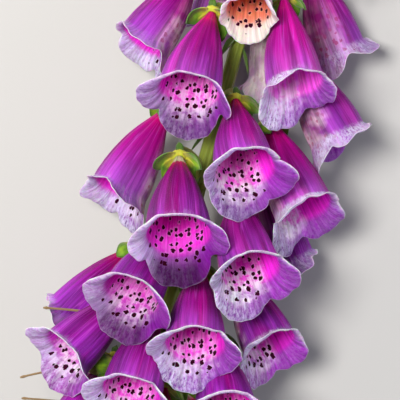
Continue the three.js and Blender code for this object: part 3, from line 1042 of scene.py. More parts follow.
@dataclass
class Stamens:
    """The four stamens and the style that lie along the roof of a bell."""

    seat: Seat
    number: int
    filament: float = 0.42
    filament_room: float = 1.3  # between a filament's middle and the roof
    # Each stamen's turn from the back in degrees, and the depth of its end.
    stamens: tuple[tuple[float, float], ...] = ((-26, 23), (26, 23.6), (-13, 28.5), (13, 29.2))
    anther_length: float = 2.7
    anther_width: float = 1.15
    root: float = 5.0  # depth where they leave the tube's wall
    style_end: float = 33.0
    style_radius: tuple[float, float] = (0.36, 0.3)
    style_room: float = 1.9

    def build(self, finish: Material) -> Piece:
        """Grows them.

        Args:
            finish: Their material.

        Returns:
            One piece for one bell's stamens and style.
        """
        skin = Skin()
        for tilt, end in self.stamens:
            turn = math.radians(tilt)
            depth = np.linspace(self.root, end, 18)
            radius = self.roof(depth) - self.filament_room
            path = self.seat.placed(depth, radius, turn * np.linspace(1.5, 1, 18))
            skin.tube(path, self.filament * self.seat.size, 8, np.zeros(3))
            for way in (-1, 1):
                self.anther(skin, path[-1], turn, way)
        depth = np.linspace(self.root, self.style_end, 22)
        style = self.seat.placed(depth, self.roof(depth) - self.style_room, 0.0)
        skin.tube(style, np.linspace(*self.style_radius, 22) * self.seat.size, 8, np.zeros(3), 0.4)
        return skin.piece(f"stamens_{self.number:02d}", finish, Slot.COROLLA)

    def roof(self, depth: Array) -> Array:
        """Returns the distance from the axis to the roof of the tube."""
        return LIVING.tube_radius(depth) * (1 - LIVING.belly) - LIVING.narrowing(depth)

    def anther(self, skin: Skin, end: Array, turn: float, way: int) -> None:
        """Adds one of the two lobes of an anther.

        Args:
            skin: The mesh that takes it.
            end: The filament's end.
            turn: The filament's turn from the bell's back.
            way: Plus or minus 1 for the side that the lobe spreads to.
        """
        seat = self.seat
        across = -math.sin(turn) * seat.back + math.cos(turn) * seat.side
        heading = unit(seat.axis * 0.55 + across * way)
        share = np.linspace(0, 1, 9)
        path = end + heading * (share[:, None] * self.anther_length - 0.25) * seat.size
        radii = self.anther_width / 2 * np.sqrt(np.clip(1 - (2 * share - 1) ** 2, 0.03, 1)) * seat.size
        skin.tube(path, radii, 10, np.zeros(3), 1.0)


# ---------------------------------------------------------------- calyx and buds


@dataclass
class Calyx:
    """The sepals round a flower's base, and the cup that they grow from.

    Four broad ones stand out like an umbrella over the bell. The narrow fifth, on its back, curls up.
    """

    seat: Seat
    seed: int
    length: float = 10.4
    width: float = 9.2
    thick: float = 1.0
    edge: float = 0.18  # thickness of a sepal's edge
    rib: float = 0.22
    ruffle: float = 0.5
    start: float = -0.9  # depth where the sepals start
    foot: float = 1.3  # distance from the axis to there
    flare: float = 84.0  # degrees between the axis and a sepal at its foot
    droop: float = 6.0  # the same at its tip
    wrap: float = 0.07  # how fast a sepal's sides bend in, per millimetre from its middle
    rows: int = 16
    columns: int = 13
    turns: tuple[float, ...] = (8.0, 82.0, 148.0, -148.0, -82.0)  # degrees from the back
    curled: int = 0  # which sepal is the narrow one, or -1
    curled_length: float = 0.42  # its length and width, against the others'
    curled_width: float = 0.36
    curled_lean: tuple[float, float] = (125.0, 190.0)  # its flare and droop
    cup: tuple[tuple[float, float], ...] = (  # depth and radius down the cup that they grow from
        (-3.4, 1.2), (-3.1, 1.7), (-2.6, 2.4), (-1.9, 2.9), (-1.0, 2.9), (0.2, 2.2),
    )
    cup_sides: int = 24

    def profile(
        self, share: Array, length: float, curled: bool, rng: np.random.Generator
    ) -> tuple[Array, Array, Array]:
        """Draws the line of a sepal's middle.

        Args:
            share: Places along the sepal, from 0 to 1.
            length: The sepal's length in millimetres.
            curled: Whether it is the narrow one.
            rng: The source of its small irregularities.

        Returns:
            Depth, distance from the axis and lean off the axis in radians, at each place.
        """
        flare, droop = self.curled_lean if curled else (self.flare, self.droop + rng.uniform(-12, 12))
        lean = np.radians(flare + (droop - flare) * share)
        step = length / (len(share) - 1)
        depth = self.start + np.cumsum(np.cos(lean), axis=0) * step
        return depth, self.foot + np.cumsum(np.sin(lean), axis=0) * step, lean

    def sepal(self, skin: Skin, turn: float, curled: bool, young: float, rng: np.random.Generator) -> None:
        """Adds one sepal.

        Args:
            skin: The mesh that takes it.
            turn: Its middle's turn from the back, in radians.
            curled: Whether it is the narrow one that curls away from the bell.
            young: How pale and yellow it is, from 0 to 1.
            rng: The source of its small irregularities.
        """
        seat = self.seat
        length = self.length * rng.uniform(0.9, 1.08) * (self.curled_length if curled else 1.0)
        width = self.width * rng.uniform(0.92, 1.08) * (self.curled_width if curled else 1.0)
        share = np.linspace(0, 1, self.rows)[:, None]
        across = np.linspace(-1, 1, self.columns)[None]
        outline = np.clip(np.sin(math.pi * (0.16 + 0.84 * share)) ** 0.6, 0.02, 1) * (1 - 0.3 * share**3)
        side = across * outline * width / 2
        depth, radius, lean = self.profile(share, length, curled, rng)
        wave = np.sin(rng.uniform(0, 6) + share * rng.uniform(5, 8))
        ruffle = self.ruffle * share * across**2 * np.sign(across) * wave
        rib = self.rib * np.exp(-((across / 0.14) ** 2)) * (1 - share)
        puff = rib + ruffle - (self.wrap + 0.05 * (1 - share) ** 2) * side**2
        radius = radius + puff * np.cos(lean)
        depth = depth - puff * np.sin(lean)
        outward = math.cos(turn) * seat.back + math.sin(turn) * seat.side
        sideways = math.cos(turn) * seat.side - math.sin(turn) * seat.back
        bent = side + rng.uniform(-1.0, 1.0) * share**2
        middle = seat.base + seat.size * (
            depth[..., None] * seat.axis + radius[..., None] * outward + bent[..., None] * sideways
        )
        within = np.clip((1 - np.abs(across) ** 3) * (1 - share**8), 0, 1)
        thick = (self.edge + (self.thick - self.edge) * within) * seat.size
        place = vectors(across, share, 0.0)
        flat = vectors(side * seat.size, share * length * seat.size, self.seed * 1.7 + turn)
        tone = np.array([young, rng.uniform(0, 1), 0.2 if curled else 1.0])
        skin.sheet(press(middle), thick, place, flat, tone)

    def grow(self, skin: Skin, young: float = 0.0) -> None:
        """Adds the calyx to a mesh.

        Args:
            skin: The mesh that takes it.
            young: How pale and yellow it is, from 0 to 1.
        """
        rng = Chance.CALYX.numbers(self.seed)
        for i, turn in enumerate(self.turns):
            self.sepal(skin, math.radians(turn) + rng.uniform(-0.12, 0.12), i == self.curled, young, rng)
        depth, radius = np.array(self.cup).T[..., None]
        turns = circle(self.cup_sides)[None]
        rings = self.seat.placed(depth, radius, turns[:, :-1])
        place = np.broadcast_to([0.0, 0.0, 1.0], rings.shape)
        flat = vectors(turns * radius, depth, self.seed * 1.7)
        skin.loft(rings, place, flat, np.array([young, 0.7, 0.7]))

    def build(self, number: int, finish: Material, young: float) -> Piece:
        """Grows an open flower's calyx as a piece of its own.

        Args:
            number: The flower's number in the node names.
            finish: The sepals' material.
            young: How pale and yellow it is, from 0 to 1.

        Returns:
            The piece that stands for the solid calyx.
        """
        skin = Skin()
        self.grow(skin, young)
        return skin.piece(f"sepals_{number:02d}", finish, Slot.CALYX, (f"calyx_{number:02d}",))


def bud_seat(node: str) -> tuple[Seat, float]:
    """Reads the place and the length of a closed bud off its solid.

    Args:
        node: The bud's node.

    Returns:
        Its seat, at size 1, and its length in millimetres.
    """
    points = solid_points(node)
    middle = points.mean(0)
    axis = np.linalg.svd(points - middle)[2][0]
    stem = STEM_LINE.centre(float(middle[1] - STEM_LINE.shift[1]))
    places = (points - middle) @ axis
    ends = [middle + axis * places.min(), middle + axis * places.max()]
    if np.linalg.norm(ends[0] - stem) > np.linalg.norm(ends[1] - stem):
        ends, axis = ends[::-1], -axis
    back = unit(np.cross(np.cross(axis, middle - stem), axis))
    return Seat(ends[0], axis, back, 1.0), float(np.linalg.norm(ends[1] - ends[0]))


@dataclass
class ClosedBud:
    """A closed bud: the folded lobes of the young corolla above their five sepals."""

    seat: Seat
    length: float
    seed: int
    young: float = 0.5
    rings: int = 26
    sides: int = 40
    sepal_rows: int = 16
    sepal_columns: int = 13
    folds: int = 5
    fold_depth: float = 0.05  # as a share of the radius

    def grow(self, petals: Skin, leaves: Skin) -> None:
        """Adds the bud.

        Args:
            petals: The mesh that takes the folded corolla.
            leaves: The mesh that takes the sepals.
        """
        share = np.linspace(0, 1, self.rings)
        radius = self.length * np.interp(
            share, [0, 0.1, 0.3, 0.55, 0.8, 0.93, 1], [0.1, 0.17, 0.235, 0.25, 0.2, 0.11, 0.03]
        )
        share, radius, turns = share[:, None], radius[:, None], circle(self.sides)[None]
        folds = np.cos(self.folds * turns + 0.4) * smoothstep(share, 0.3, 0.95)
        folded = radius * (1 + self.fold_depth * folds)
        rings = self.seat.placed(share * self.length, folded[:, :-1], turns[:, :-1])
        place = vectors(np.cos(turns[:, :-1]), share, 0.0)
        flat = vectors(turns * radius, share * self.length, self.seed * 2.3)
        petals.loft(rings, place, flat, np.array([self.young, 0.0, 0.0]))
        seat = replace(self.seat, size=self.length / PLAIN_BUD)
        cup = BudCalyx(
            seat, self.seed, length=10.5, width=6.4, wrap=0.1, rows=self.sepal_rows,
            columns=self.sepal_columns, turns=(0.0, 72.0, 144.0, 216.0, 288.0), curled=-1,
        )
        cup.grow(leaves, self.young)


@dataclass
class BudCalyx(Calyx):
    """The sepals of a closed bud, which lie close along it."""

    start: float = -1.6
    hug: float = 0.5  # clearance to the bud

    def profile(
        self, share: Array, length: float, curled: bool, rng: np.random.Generator
    ) -> tuple[Array, Array, Array]:
        """Draws the line of a sepal's middle along the bud.

        Args:
            share: Places along the sepal, from 0 to 1.
            length: The sepal's length in millimetres.
            curled: Not used, because a bud has no narrow sepal.
            rng: The source of its small irregularities.

        Returns:
            Depth, distance from the axis and lean off the axis in radians, at each place.
        """
        depth = self.start + (length - self.start) * share
        along = np.clip(depth / PLAIN_BUD, 0, 1)
        held = PLAIN_BUD * np.interp(along, [0, 0.1, 0.3, 0.55, 0.8, 1], [0.1, 0.17, 0.235, 0.25, 0.2, 0.03])
        radius = held * smoothstep(share, -0.4, 0.15) + self.hug + rng.uniform(0.4, 1.2) * share**2
        return depth, radius, np.zeros_like(share)


# ---------------------------------------------------------------- the stem


@dataclass
class Stem:
    """The ridged stem with its pedicels, bracts, seed capsules and the small buds of its tip."""

    ridges: int = 7
    ridge: float = 0.22 / 3  # a ridge's height, as a share of the stem's radius
    twist: float = 0.004  # how fast the ridges turn round the stem, in radians a millimetre
    uneven: float = 0.1
    sides: int = 56
    rings: int = 420
    lowest: float = 0.05  # how high off the table its underside lies
    pedicel_radius: float = 1.25
    arch: float = 5.0  # how far a pedicel goes straight out of the stem, and straight into the flower
    rise: float = 6.0
    behind_bell: float = 2.4  # how far behind the flower's seat a pedicel ends
    behind_bud: float = 0.6
    bract_length: float = 10.5
    bract_width: float = 4.4
    bract_edge: float = 0.14
    bract_rib: float = 0.3  # how much thicker its middle is than its edge
    bract_tilt: float = 30.0
    bract_below: float = 4.0
    tip_buds: int = 24
    tip_along: tuple[float, float] = (150.0, 183.0)  # how far up the stem the first and last grow
    tip_length: tuple[float, float] = (13.0, 4.0)
    tip_nod: tuple[float, float] = (15.0, -60.0)
    golden_turn: float = 137.5
    capsule_length: float = 11.0
    style_from: float = 9.5  # depth where a capsule's style starts
    style_length: float = 25.0
    style_radii: tuple[tuple[float, float], ...] = (  # place along it and radius
        (0, 0.75), (0.1, 0.5), (0.9, 0.38), (0.96, 0.6), (1, 0.3),
    )
    style_height: float = 0.8  # how high off the table its lowest part lies

    def axis(self, skin: Skin) -> None:
        """Adds the main stem, with blunt ridges that run up it.

        Args:
            skin: The mesh that takes it.
        """
        rng = Chance.STEM.numbers()
        along = np.linspace(STEM_LINE.cut_end, STEM_LINE.tip, self.rings)
        path = STEM_LINE.centre(along)
        turns = circle(self.sides)[None]
        heading = unit(np.gradient(path, axis=0))
        across = unit(np.cross(heading, TABLE_UP))
        upward = np.cross(across, heading)
        along = along[:, None]
        radius = STEM_LINE.radius(along)
        ridges = np.cos(self.ridges * (turns + along * self.twist))
        wide = radius * (1 + self.ridge * ridges) + self.uneven * ripples(rng, turns, along, 3)
        off = across[:, None] * np.cos(turns)[..., None] + upward[:, None] * np.sin(turns)[..., None]
        rings = path[:, None] + off * wide[..., None]
        rings[..., 2] = np.maximum(rings[..., 2], self.lowest)
        place = vectors(ridges, along / 400 + 0.5, 0.0)
        flat = vectors(turns * radius, along, 0.0)
        skin.loft(rings[:, :-1], place[:, :-1], flat, np.array([0.0, 0.5, 0.0]))

    def pedicel(self, skin: Skin, seat: Seat, behind: float, seed: int) -> None:
        """Adds the stalk of a flower, which rises off the stem and arches over to face it.

        Args:
            skin: The mesh that takes it.
            seat: The flower's seat.
            behind: How far behind the seat it ends.
            seed: The seed of its small irregularities.
        """
        rng = Chance.PEDICEL.numbers(seed)
        start = STEM_LINE.centre(seat.along - 2)
        end = seat.base - seat.axis * behind
        knots = [start, start + seat.off * self.arch + PLUMB_UP * self.rise, end - seat.axis * self.arch, end]
        t = np.linspace(0, 1, 26)[:, None]
        weights = [(1 - t) ** 3, 3 * t * (1 - t) ** 2, 3 * t * t * (1 - t), t**3]
        path = sum(weight * knot for weight, knot in zip(weights, knots))
        radii = self.pedicel_radius * (1 + 0.35 * (1 - t[:, 0]) ** 4 + 0.12 * t[:, 0] ** 6)
        skin.tube(path, radii, 14, np.array([0.3, rng.uniform(), 0.0]))

    def bract(self, skin: Skin, seat: Seat, seed: int) -> None:
        """Adds the small pointed leaf under a pedicel.

        Args:
            skin: The mesh that takes it.
            seat: The flower's seat.
            seed: The seed of its small irregularities.
        """
        rng = Chance.BRACT.numbers(seed)
        tilt = math.radians(self.bract_tilt)
        root = STEM_LINE.centre(seat.along - self.bract_below) + seat.off * STEM_LINE.radius(seat.along) * 0.6
        heading = -STEM_UP * math.cos(tilt) + seat.off * math.sin(tilt)
        across = unit(np.cross(STEM_UP, seat.off))
        through = np.cross(heading, across)
        share = np.linspace(0, 1, 18)[:, None]
        side = np.linspace(-1, 1, 11)[None]
        width = np.interp(share, [0, 0.12, 0.38, 0.7, 0.92, 1], [0.5, 0.7, 1, 0.66, 0.25, 0.06])
        width = width * self.bract_width
        length = self.bract_length * rng.uniform(0.9, 1.05)
        lift = 0.5 * np.abs(side) * width / 2 + rng.uniform(-0.8, 0.8) * share**2
        middle = (
            root + share[..., None] * length * heading + (side * width / 2)[..., None] * across
            + lift[..., None] * through
        )
        place = vectors(side, share, 0.0)
        flat = vectors(side * width / 2, share * length, seed * 1.3)
        thick = self.bract_edge + self.bract_rib * (1 - side**2) * (1 - share**4)
        skin.sheet(press(middle), thick, place, flat, np.array([0.15, rng.uniform(), 0.0]))

    def capsule(self, skin: Skin, leaves: Skin, dry: Skin, seat: Seat, seed: int) -> None:
        """Adds a young seed capsule in its old calyx, with the dry style still on it.

        Args:
            skin: The mesh that takes the capsule and its stalk.
            leaves: The mesh that takes the sepals.
            dry: The mesh that takes the style.
            seat: The capsule's seat.
            seed: The seed of its small irregularities.
        """
        share = np.linspace(0, 1, 22)[:, None]
        radius = np.interp(share, [0, 0.12, 0.45, 0.75, 0.93, 1], [0.16, 0.36, 0.43, 0.28, 0.09, 0.04])
        depth, radius = self.capsule_length * share, self.capsule_length * radius
        turns = circle(32)[None]
        furrowed = radius * (1 - 0.08 * np.cos(2 * turns) ** 8)
        rings = seat.placed(depth, furrowed[:, :-1], turns[:, :-1])
        place = vectors(np.cos(turns[:, :-1]), share, 0.0)
        flat = vectors(turns * radius, depth, seed)
        skin.loft(rings, place, flat, np.array([0.2, 0.4, 0.0]))
        self.pedicel(skin, seat, 0.0, seed)
        Calyx(seat, seed + 60, length=10, flare=60.0, droop=20.0).grow(leaves)
        rng = Chance.STYLE.numbers(seed)
        share = np.linspace(0, 1, 24)
        droop = rng.uniform(-3.5, 5.5)
        depth = self.style_from + self.style_length * share
        style = seat.placed(depth, -droop * share**2, rng.uniform(-0.8, 0.8))
        style[:, 2] = np.maximum(style[:, 2], self.style_height)
        dry.tube(style, np.interp(share, *zip(*self.style_radii)), 8, np.zeros(3), 0.4)

    def crown(self, petals: Skin, leaves: Skin) -> None:
        """Adds the crowd of small buds at the tip, each a golden turn on from the last.

        Args:
            petals: The mesh that takes the folded corollas.
            leaves: The mesh that takes the sepals.
        """
        for i in range(self.tip_buds):
            share = i / (self.tip_buds - 1)
            along, length, nod = (
                first + (last - first) * share
                for first, last in (self.tip_along, self.tip_length, self.tip_nod)
            )
            around = i * self.golden_turn
            reach = float(STEM_LINE.radius(along)) * 0.5
            seat = Seat.grown(along, reach, around, around, nod, 1.0)
            bud = ClosedBud(
                seat, length, 90 + i, 0.15 + 0.2 * share, rings=16, sides=24, sepal_rows=10, sepal_columns=7
            )
            bud.grow(petals, leaves)


# ---------------------------------------------------------------- finishes


@dataclass(frozen=True)
class Petal:
    """Living foxglove petal: thin watery tissue under a fine velvet of cone-shaped cells.

    It reads as deep satin magenta outside, as glowing pink where light comes through to the inside, partly
    drawn as painted glow, and as lilac to white along the rim, with dark spots on a blanched patch of the
    lower wall. Painted highlight lines and sheen, painted light on the left lobe and painted shade on the
    lower lobe are drawn into its colour as well.
    """

    name: str = "petal, foxglove, living tissue"
    # Outside, from the calyx to the rim.
    tip: str = "#eee6bd"
    base: str = "#c00a50"
    throat: str = "#930358"
    tube: str = "#7c0268"
    waist: str = "#7a0573"
    lip: str = "#7d0a88"
    lobe: str = "#8a3ba2"
    # Also the lilac of the painted light on the left lobe inside.
    wash: str = "#b4a0d4"
    rim: str = "#ece5f4"
    # What varies over the outside.
    hot: str = "#ae0a86"
    mist: str = "#9a34b4"
    # Painted sheen: the pale lilac highlight by the mouth of a hot bell.
    painted_sheen: str = "#b078ca"
    violet: str = "#5e35a0"
    pale_tube: str = "#e2cbd8"
    # Painted highlight: the fine light lines down the tube.
    line: str = "#b94cc6"
    # Inside, from the throat to the rim, and what varies over it.
    inner_deep: str = "#8c0d7e"
    inner: str = "#d816b8"
    # Partly the petal's own pink and partly painted glow, drawn bright for light through the petal.
    inner_mouth: str = "#f22eda"
    inner_lobe: str = "#9a2fae"
    inner_edge: str = "#764598"
    plum: str = "#a42cae"
    # Painted shade: the deeper rose of the right lobe.
    right_lobe_shade: str = "#8f22ac"
    # Painted glow: bright pink inside a very hot bell, standing in for light through the petal.
    painted_glow: str = "#ff6aea"
    # Painted shade: the dark of the lower lobe.
    lobe_shade: str = "#3c0748"
    patch: str = "#ece2f2"
    hair: str = "#ccc8e6"
    spot: str = "#2a0412"
    young: str = "#e6d8d3"
    blush: str = "#e27f62"
    spot_spacing: float = 3.0  # millimetres between the middles of two spots
    vein_spacing: float = 1.2  # millimetres between two veins at the mouth
    hair_spacing: float = 0.65  # millimetres between tufts of the down, drawn coarse enough to show
    cells: float = 3.5  # cone-shaped cells in a millimetre, drawn coarse enough to show
    clouds: float = 0.14  # soft blotches in a millimetre
    breaks: float = 0.34  # breaks of the white patch in a millimetre
    ior: float = 1.42  # wet plant tissue
    roughness: float = 0.42
    grain: float = 0.08  # how far the roughness varies each way

    def material(self) -> Material:
        """Builds the petal's nodes.

        Returns:
            The material.
        """
        material, add = new_material(self.name)
        nodes = PetalNodes(self, add)
        colour = add("Mix", {0: nodes.within, 6: nodes.outside(), 7: nodes.inside()}, data_type="RGBA")
        cones = add("TexNoise", {0: nodes.flat, "Scale": self.cells, "Detail": 2.0})
        low, high = self.roughness - self.grain, self.roughness + self.grain
        shader = add("BsdfPrincipled", {
            "Base Color": nodes.rimmed(colour),
            "Roughness": add("MapRange", {0: cones, 3: low, 4: high}),
            "IOR": self.ior,
            "Normal": nodes.relief(cones),
            "Subsurface Weight": 0.7,
            "Subsurface Radius": (1.6, 0.25, 1.2),
            "Subsurface Scale": 0.001,
            # Painted shade also dulls the gloss of the lower lobe.
            "Specular IOR Level": add("MapRange", {0: nodes.shadowed, 3: 0.15, 4: 0.05}),
            "Specular Tint": (1.0, 0.2, 1.0, 1.0),
        })
        add("OutputMaterial", {0: shader})
        return material


class PetalNodes:
    """The groups of nodes in a petal's material, and what several of them share.

    Of the mesh they read above, 1 on the bell's back and -1 underneath; way, 1 at the mouth and 2 at
    the rim; within, 1 on the lining; rim, the millimetres to the rim; aside, from -1 at the bell's
    left to 1 at its right; flat, the petal unrolled in millimetres; and pale, blanch, frost and dusk,
    which are the bell's habit.
    """

    def __init__(self, finish: Petal, add: AddNode) -> None:
        """Reads the mesh and makes the patterns and shares that several groups use.

        Args:
            finish: The petal's colours and measures.
            add: What adds a node to the material.
        """
        self.finish, self.add = finish, add
        place, tone, mood = (
            add("SeparateXYZ", {0: add("Attribute", attribute_name=label).outputs["Vector"]})
            for label in ("place", "tone", "mood")
        )
        self.flat = add("Attribute", attribute_name="flat").outputs["Vector"]
        self.above, self.way, self.within = place.outputs
        self.rim, self.pale, self.aside = tone.outputs
        self.blanch, self.frost, self.lobe_shade = mood.outputs

        # Veins run lengthwise and fan out with the lobes. Silky hairs lie along them on the lobes.
        lengthwise = add("Mapping", {0: self.flat, "Scale": (1 / finish.vein_spacing, 0.035, 1.0)})
        self.veins = add("TexNoise", {0: lengthwise, "Scale": 1.0, "Detail": 3.0, "Roughness": 0.6})
        combed = add("Mapping", {0: self.flat, "Scale": (1 / finish.hair_spacing, 0.55, 1.0)})
        self.hairs = add("TexNoise", {0: combed, "Scale": 1.0, "Detail": 4.0, "Roughness": 0.75})
        self.soft = add("TexNoise", {0: self.flat, "Scale": finish.clouds, "Detail": 2.0})
        self.blotched = add("MapRange", {0: self.soft, 1: 0.38, 2: 0.6, 3: 0.1, 4: 1.0})
        broken = {0: self.flat, "Scale": finish.breaks, "Detail": 3.0, "Roughness": 0.6}
        broken = add("TexNoise", broken)
        self.broken = add("MapRange", {0: broken, 1: 0.4, 2: 0.58, 3: 0.12, 4: 1.0})

        # Each colour's edge is drawn out along the veins.
        drawn = add("Math", {0: self.veins, 1: 0.16, 2: -0.08}, operation="MULTIPLY_ADD")
        self.drawn = add("Math", {0: self.way, 1: drawn}, operation="ADD")
        self.half_way = add("Math", {0: self.drawn, 1: 0.5}, operation="MULTIPLY")
        self.on_lobe = add("MapRange", {0: self.way, 1: 0.95, 2: 1.35}, **SMOOTH)

        # A bell with a negative pale is hotter, most of all on its tube.
        hotter = add("MapRange", {0: self.way, 1: 1.4, 2: 0.9, 4: -0.8}, **SMOOTH)
        self.hotter = add("Math", {0: self.pale, 1: hotter}, operation="MULTIPLY", use_clamp=True)

        # Painted shade: on some bells the lower lobe is painted dark, as if in shadow, almost without down,
        # and the white patch, halos, rim and gloss fade in that painted shade.
        lower = add("MapRange", {0: self.above, 1: 0.0, 2: -0.55}, **SMOOTH)
        unlit = add("Math", {0: lower, 1: self.lobe_shade}, operation="MULTIPLY")
        shadowed = add("MapRange", {0: self.drawn, 1: 0.84, 2: 1.66}, **SMOOTH)
        self.shadowed = add("Math", {0: shadowed, 1: unlit}, operation="MULTIPLY")
        self.bare, self.clear, self.dimmed = (
            add("Math", {0: dark, 1: -share, 2: 1.0}, operation="MULTIPLY_ADD", use_clamp=True)
            for dark, share in ((unlit, 0.93), (self.shadowed, 1.0), (self.shadowed, 0.8))
        )
        self.down = self.tufts()
        self.spots()

    def tufts(self) -> Node:
        """Gathers the down into tufts on the lobes, painted thickest towards the bell's left, as if lit from
        there.

        Returns:
            The node of the share of down.
        """
        add = self.add
        down = add("MapRange", {0: self.hairs, 1: 0.37, 2: 0.59})
        lit_from_left = add("MapRange", {0: self.aside, 1: 0.8, 2: -0.6, 3: 0.15, 4: 1.4})
        mottled = add("Mapping", {0: self.flat, "Scale": (0.6, 0.24, 1.0), "Location": (5.0, 2.0, 0.0)})
        mottled = add("TexNoise", {0: mottled, "Scale": 1.0, "Detail": 3.0, "Roughness": 0.65})
        mottled = add("MapRange", {0: mottled, 1: 0.38, 2: 0.62, 3: 0.58, 4: 1.12})
        for share in (self.on_lobe, self.frost, lit_from_left, self.bare, mottled):
            down = add("Math", {0: down, 1: share}, operation="MULTIPLY", use_clamp=True)
        return down

    def spots(self) -> None:
        """Sets zone, where spots may lie, and seen, past and spot: how clear, how near and where."""
        add, spacing = self.add, self.finish.spot_spacing
        from_throat = add("MapRange", {0: self.way, 1: 0.35, 2: 0.7}, **SMOOTH)
        to_lip = add("MapRange", {0: self.way, 1: 1.68, 2: 1.4}, **SMOOTH)
        self.zone = add("Math", {0: from_throat, 1: to_lip}, operation="MULTIPLY")
        # Uneven dots and short dashes, a few of them run together.
        wobble = add("TexNoise", {0: self.flat, "Scale": 1.1, "Detail": 1.0}).outputs["Color"]
        cells = {0: wobble, 1: (1.3, 1.3, 0.0), 2: self.flat}
        cells = add("VectorMath", cells, operation="MULTIPLY_ADD")
        cells = add("Mapping", {0: cells, "Scale": (1 / spacing, 0.85 / spacing, 1.0)})
        net = {0: cells, "Scale": 1.0, "Randomness": 0.85}
        net = add("TexVoronoi", net, voronoi_dimensions="2D")
        chance = add("SeparateColor", {0: net.outputs["Color"]})
        girth = add("MapRange", {0: chance, 3: 0.17, 4: 0.3})
        spotted = add("MapRange", {0: self.above, 1: -0.3, 2: -0.5}, **SMOOTH)
        room = add("Math", {0: self.zone, 1: spotted}, operation="MULTIPLY")
        girth = add("Math", {0: girth, 1: room}, operation="MULTIPLY")
        self.past = add("Math", {0: net.outputs["Distance"], 1: girth}, operation="SUBTRACT")
        seen = add("MapRange", {0: room, 1: 0.15, 2: 0.4})
        freckled = add("MapRange", {0: self.frost, 1: 1.35, 2: 1.2})
        self.seen = add("Math", {0: seen, 1: freckled}, operation="MULTIPLY")
        spot = add("MapRange", {0: self.past, 1: 0.025, 2: -0.025})
        self.spot = add("Math", {0: spot, 1: self.seen}, operation="MULTIPLY")

    def outside(self) -> Node:
        """Colours the outside.

        Returns:
            The colour's node.
        """
        add, finish = self.add, self.finish
        colour = add("ValToRGB", {0: self.half_way}, stops=[
            (0.055, finish.tip), (0.07, finish.base), (0.11, finish.throat), (0.17, finish.tube),
            (0.38, finish.waist), (0.5, finish.lip), (0.66, finish.lobe), (0.95, finish.wash),
        ])
        # A blanched bell is red at its foot. A hot one gets a painted lilac sheen by its mouth, a highlight
        # drawn into its colour.
        reddened = add("MapRange", {0: self.way, 1: 0.18, 2: 0.12}, **SMOOTH)
        stained = add("MapRange", {0: self.blanch, 1: 0.25, 2: 0.6})
        reddened = add("Math", {0: reddened, 1: stained}, operation="MULTIPLY")
        painted_sheen_share = add("MapRange", {0: self.pale, 1: 0.0, 2: -0.5, 4: 0.45})
        by_mouth = add("MapRange", {0: self.drawn, 1: 0.66, 2: 1.08}, **SMOOTH)
        painted_sheen_share = add("Math", {0: painted_sheen_share, 1: by_mouth}, operation="MULTIPLY")

        # Long clouds of mauve near the mouth and of hot pink between them.
        cloud = add("Mapping", {0: self.flat, "Scale": (0.12, 0.035, 1.0), "Location": (1.0, 4.0, 0.0)})
        cloud = add("TexNoise", {0: cloud, "Scale": 1.0, "Detail": 2.0, "Distortion": 0.4})
        hazed = add("MapRange", {0: cloud, 1: 0.36, 2: 0.66, 3: 0.05, 4: 0.5}, **SMOOTH)
        near_mouth = add("MapRange", {0: self.drawn, 1: 0.45, 2: 1.0}, **SMOOTH)
        hazed = add("Math", {0: hazed, 1: near_mouth}, operation="MULTIPLY")
        flushed = add("MapRange", {0: cloud, 1: 0.52, 2: 0.3, 4: 0.5}, **SMOOTH)

        # The flanks are bluer, and the underside is pale in blotches.
        grown = add("MapRange", {0: self.way, 1: 0.25, 2: 0.85}, **SMOOTH)
        flank = add("Math", {0: self.aside}, operation="ABSOLUTE")
        for share in (grown, 0.28):
            flank = add("Math", {0: flank, 1: share}, operation="MULTIPLY")
        under = add("MapRange", {0: self.above, 1: -0.2, 2: -0.8}, **SMOOTH)
        for share in (grown, self.blotched, self.blanch):
            under = add("Math", {0: under, 1: share}, operation="MULTIPLY")
        for share, tint in (
            (reddened, finish.base), (self.hotter, finish.hot), (painted_sheen_share, finish.painted_sheen),
            (hazed, finish.mist), (flushed, finish.hot), (flank, finish.violet),
            (under, finish.pale_tube),
        ):
            colour = add("Mix", {0: share, 6: colour, 7: tint}, data_type="RGBA")

        # Veins and pleats streak the tube, and a tube whose lower lobe has much painted shade is darker all
        # over.
        pleats = add("Mapping", {0: self.flat, "Scale": (0.22, 0.012, 1.0), "Location": (3.0, 9.0, 0.0)})
        pleats = add("TexNoise", {0: pleats, "Scale": 1.0, "Detail": 1.5})
        pleats = add("MapRange", {0: pleats, 1: 0.33, 2: 0.67, 3: 0.66, 4: 1.38})
        streak = add("MapRange", {0: self.veins, 1: 0.36, 2: 0.64, 3: 0.74, 4: 1.24})
        deepened = add("MapRange", {0: self.lobe_shade, 1: 0.7, 2: 1.0, 3: 1.0, 4: 0.74})
        for share in (pleats, deepened):
            streak = add("Math", {0: streak, 1: share}, operation="MULTIPLY")
        colour = add("VectorMath", {0: colour, "Scale": streak}, operation="SCALE")

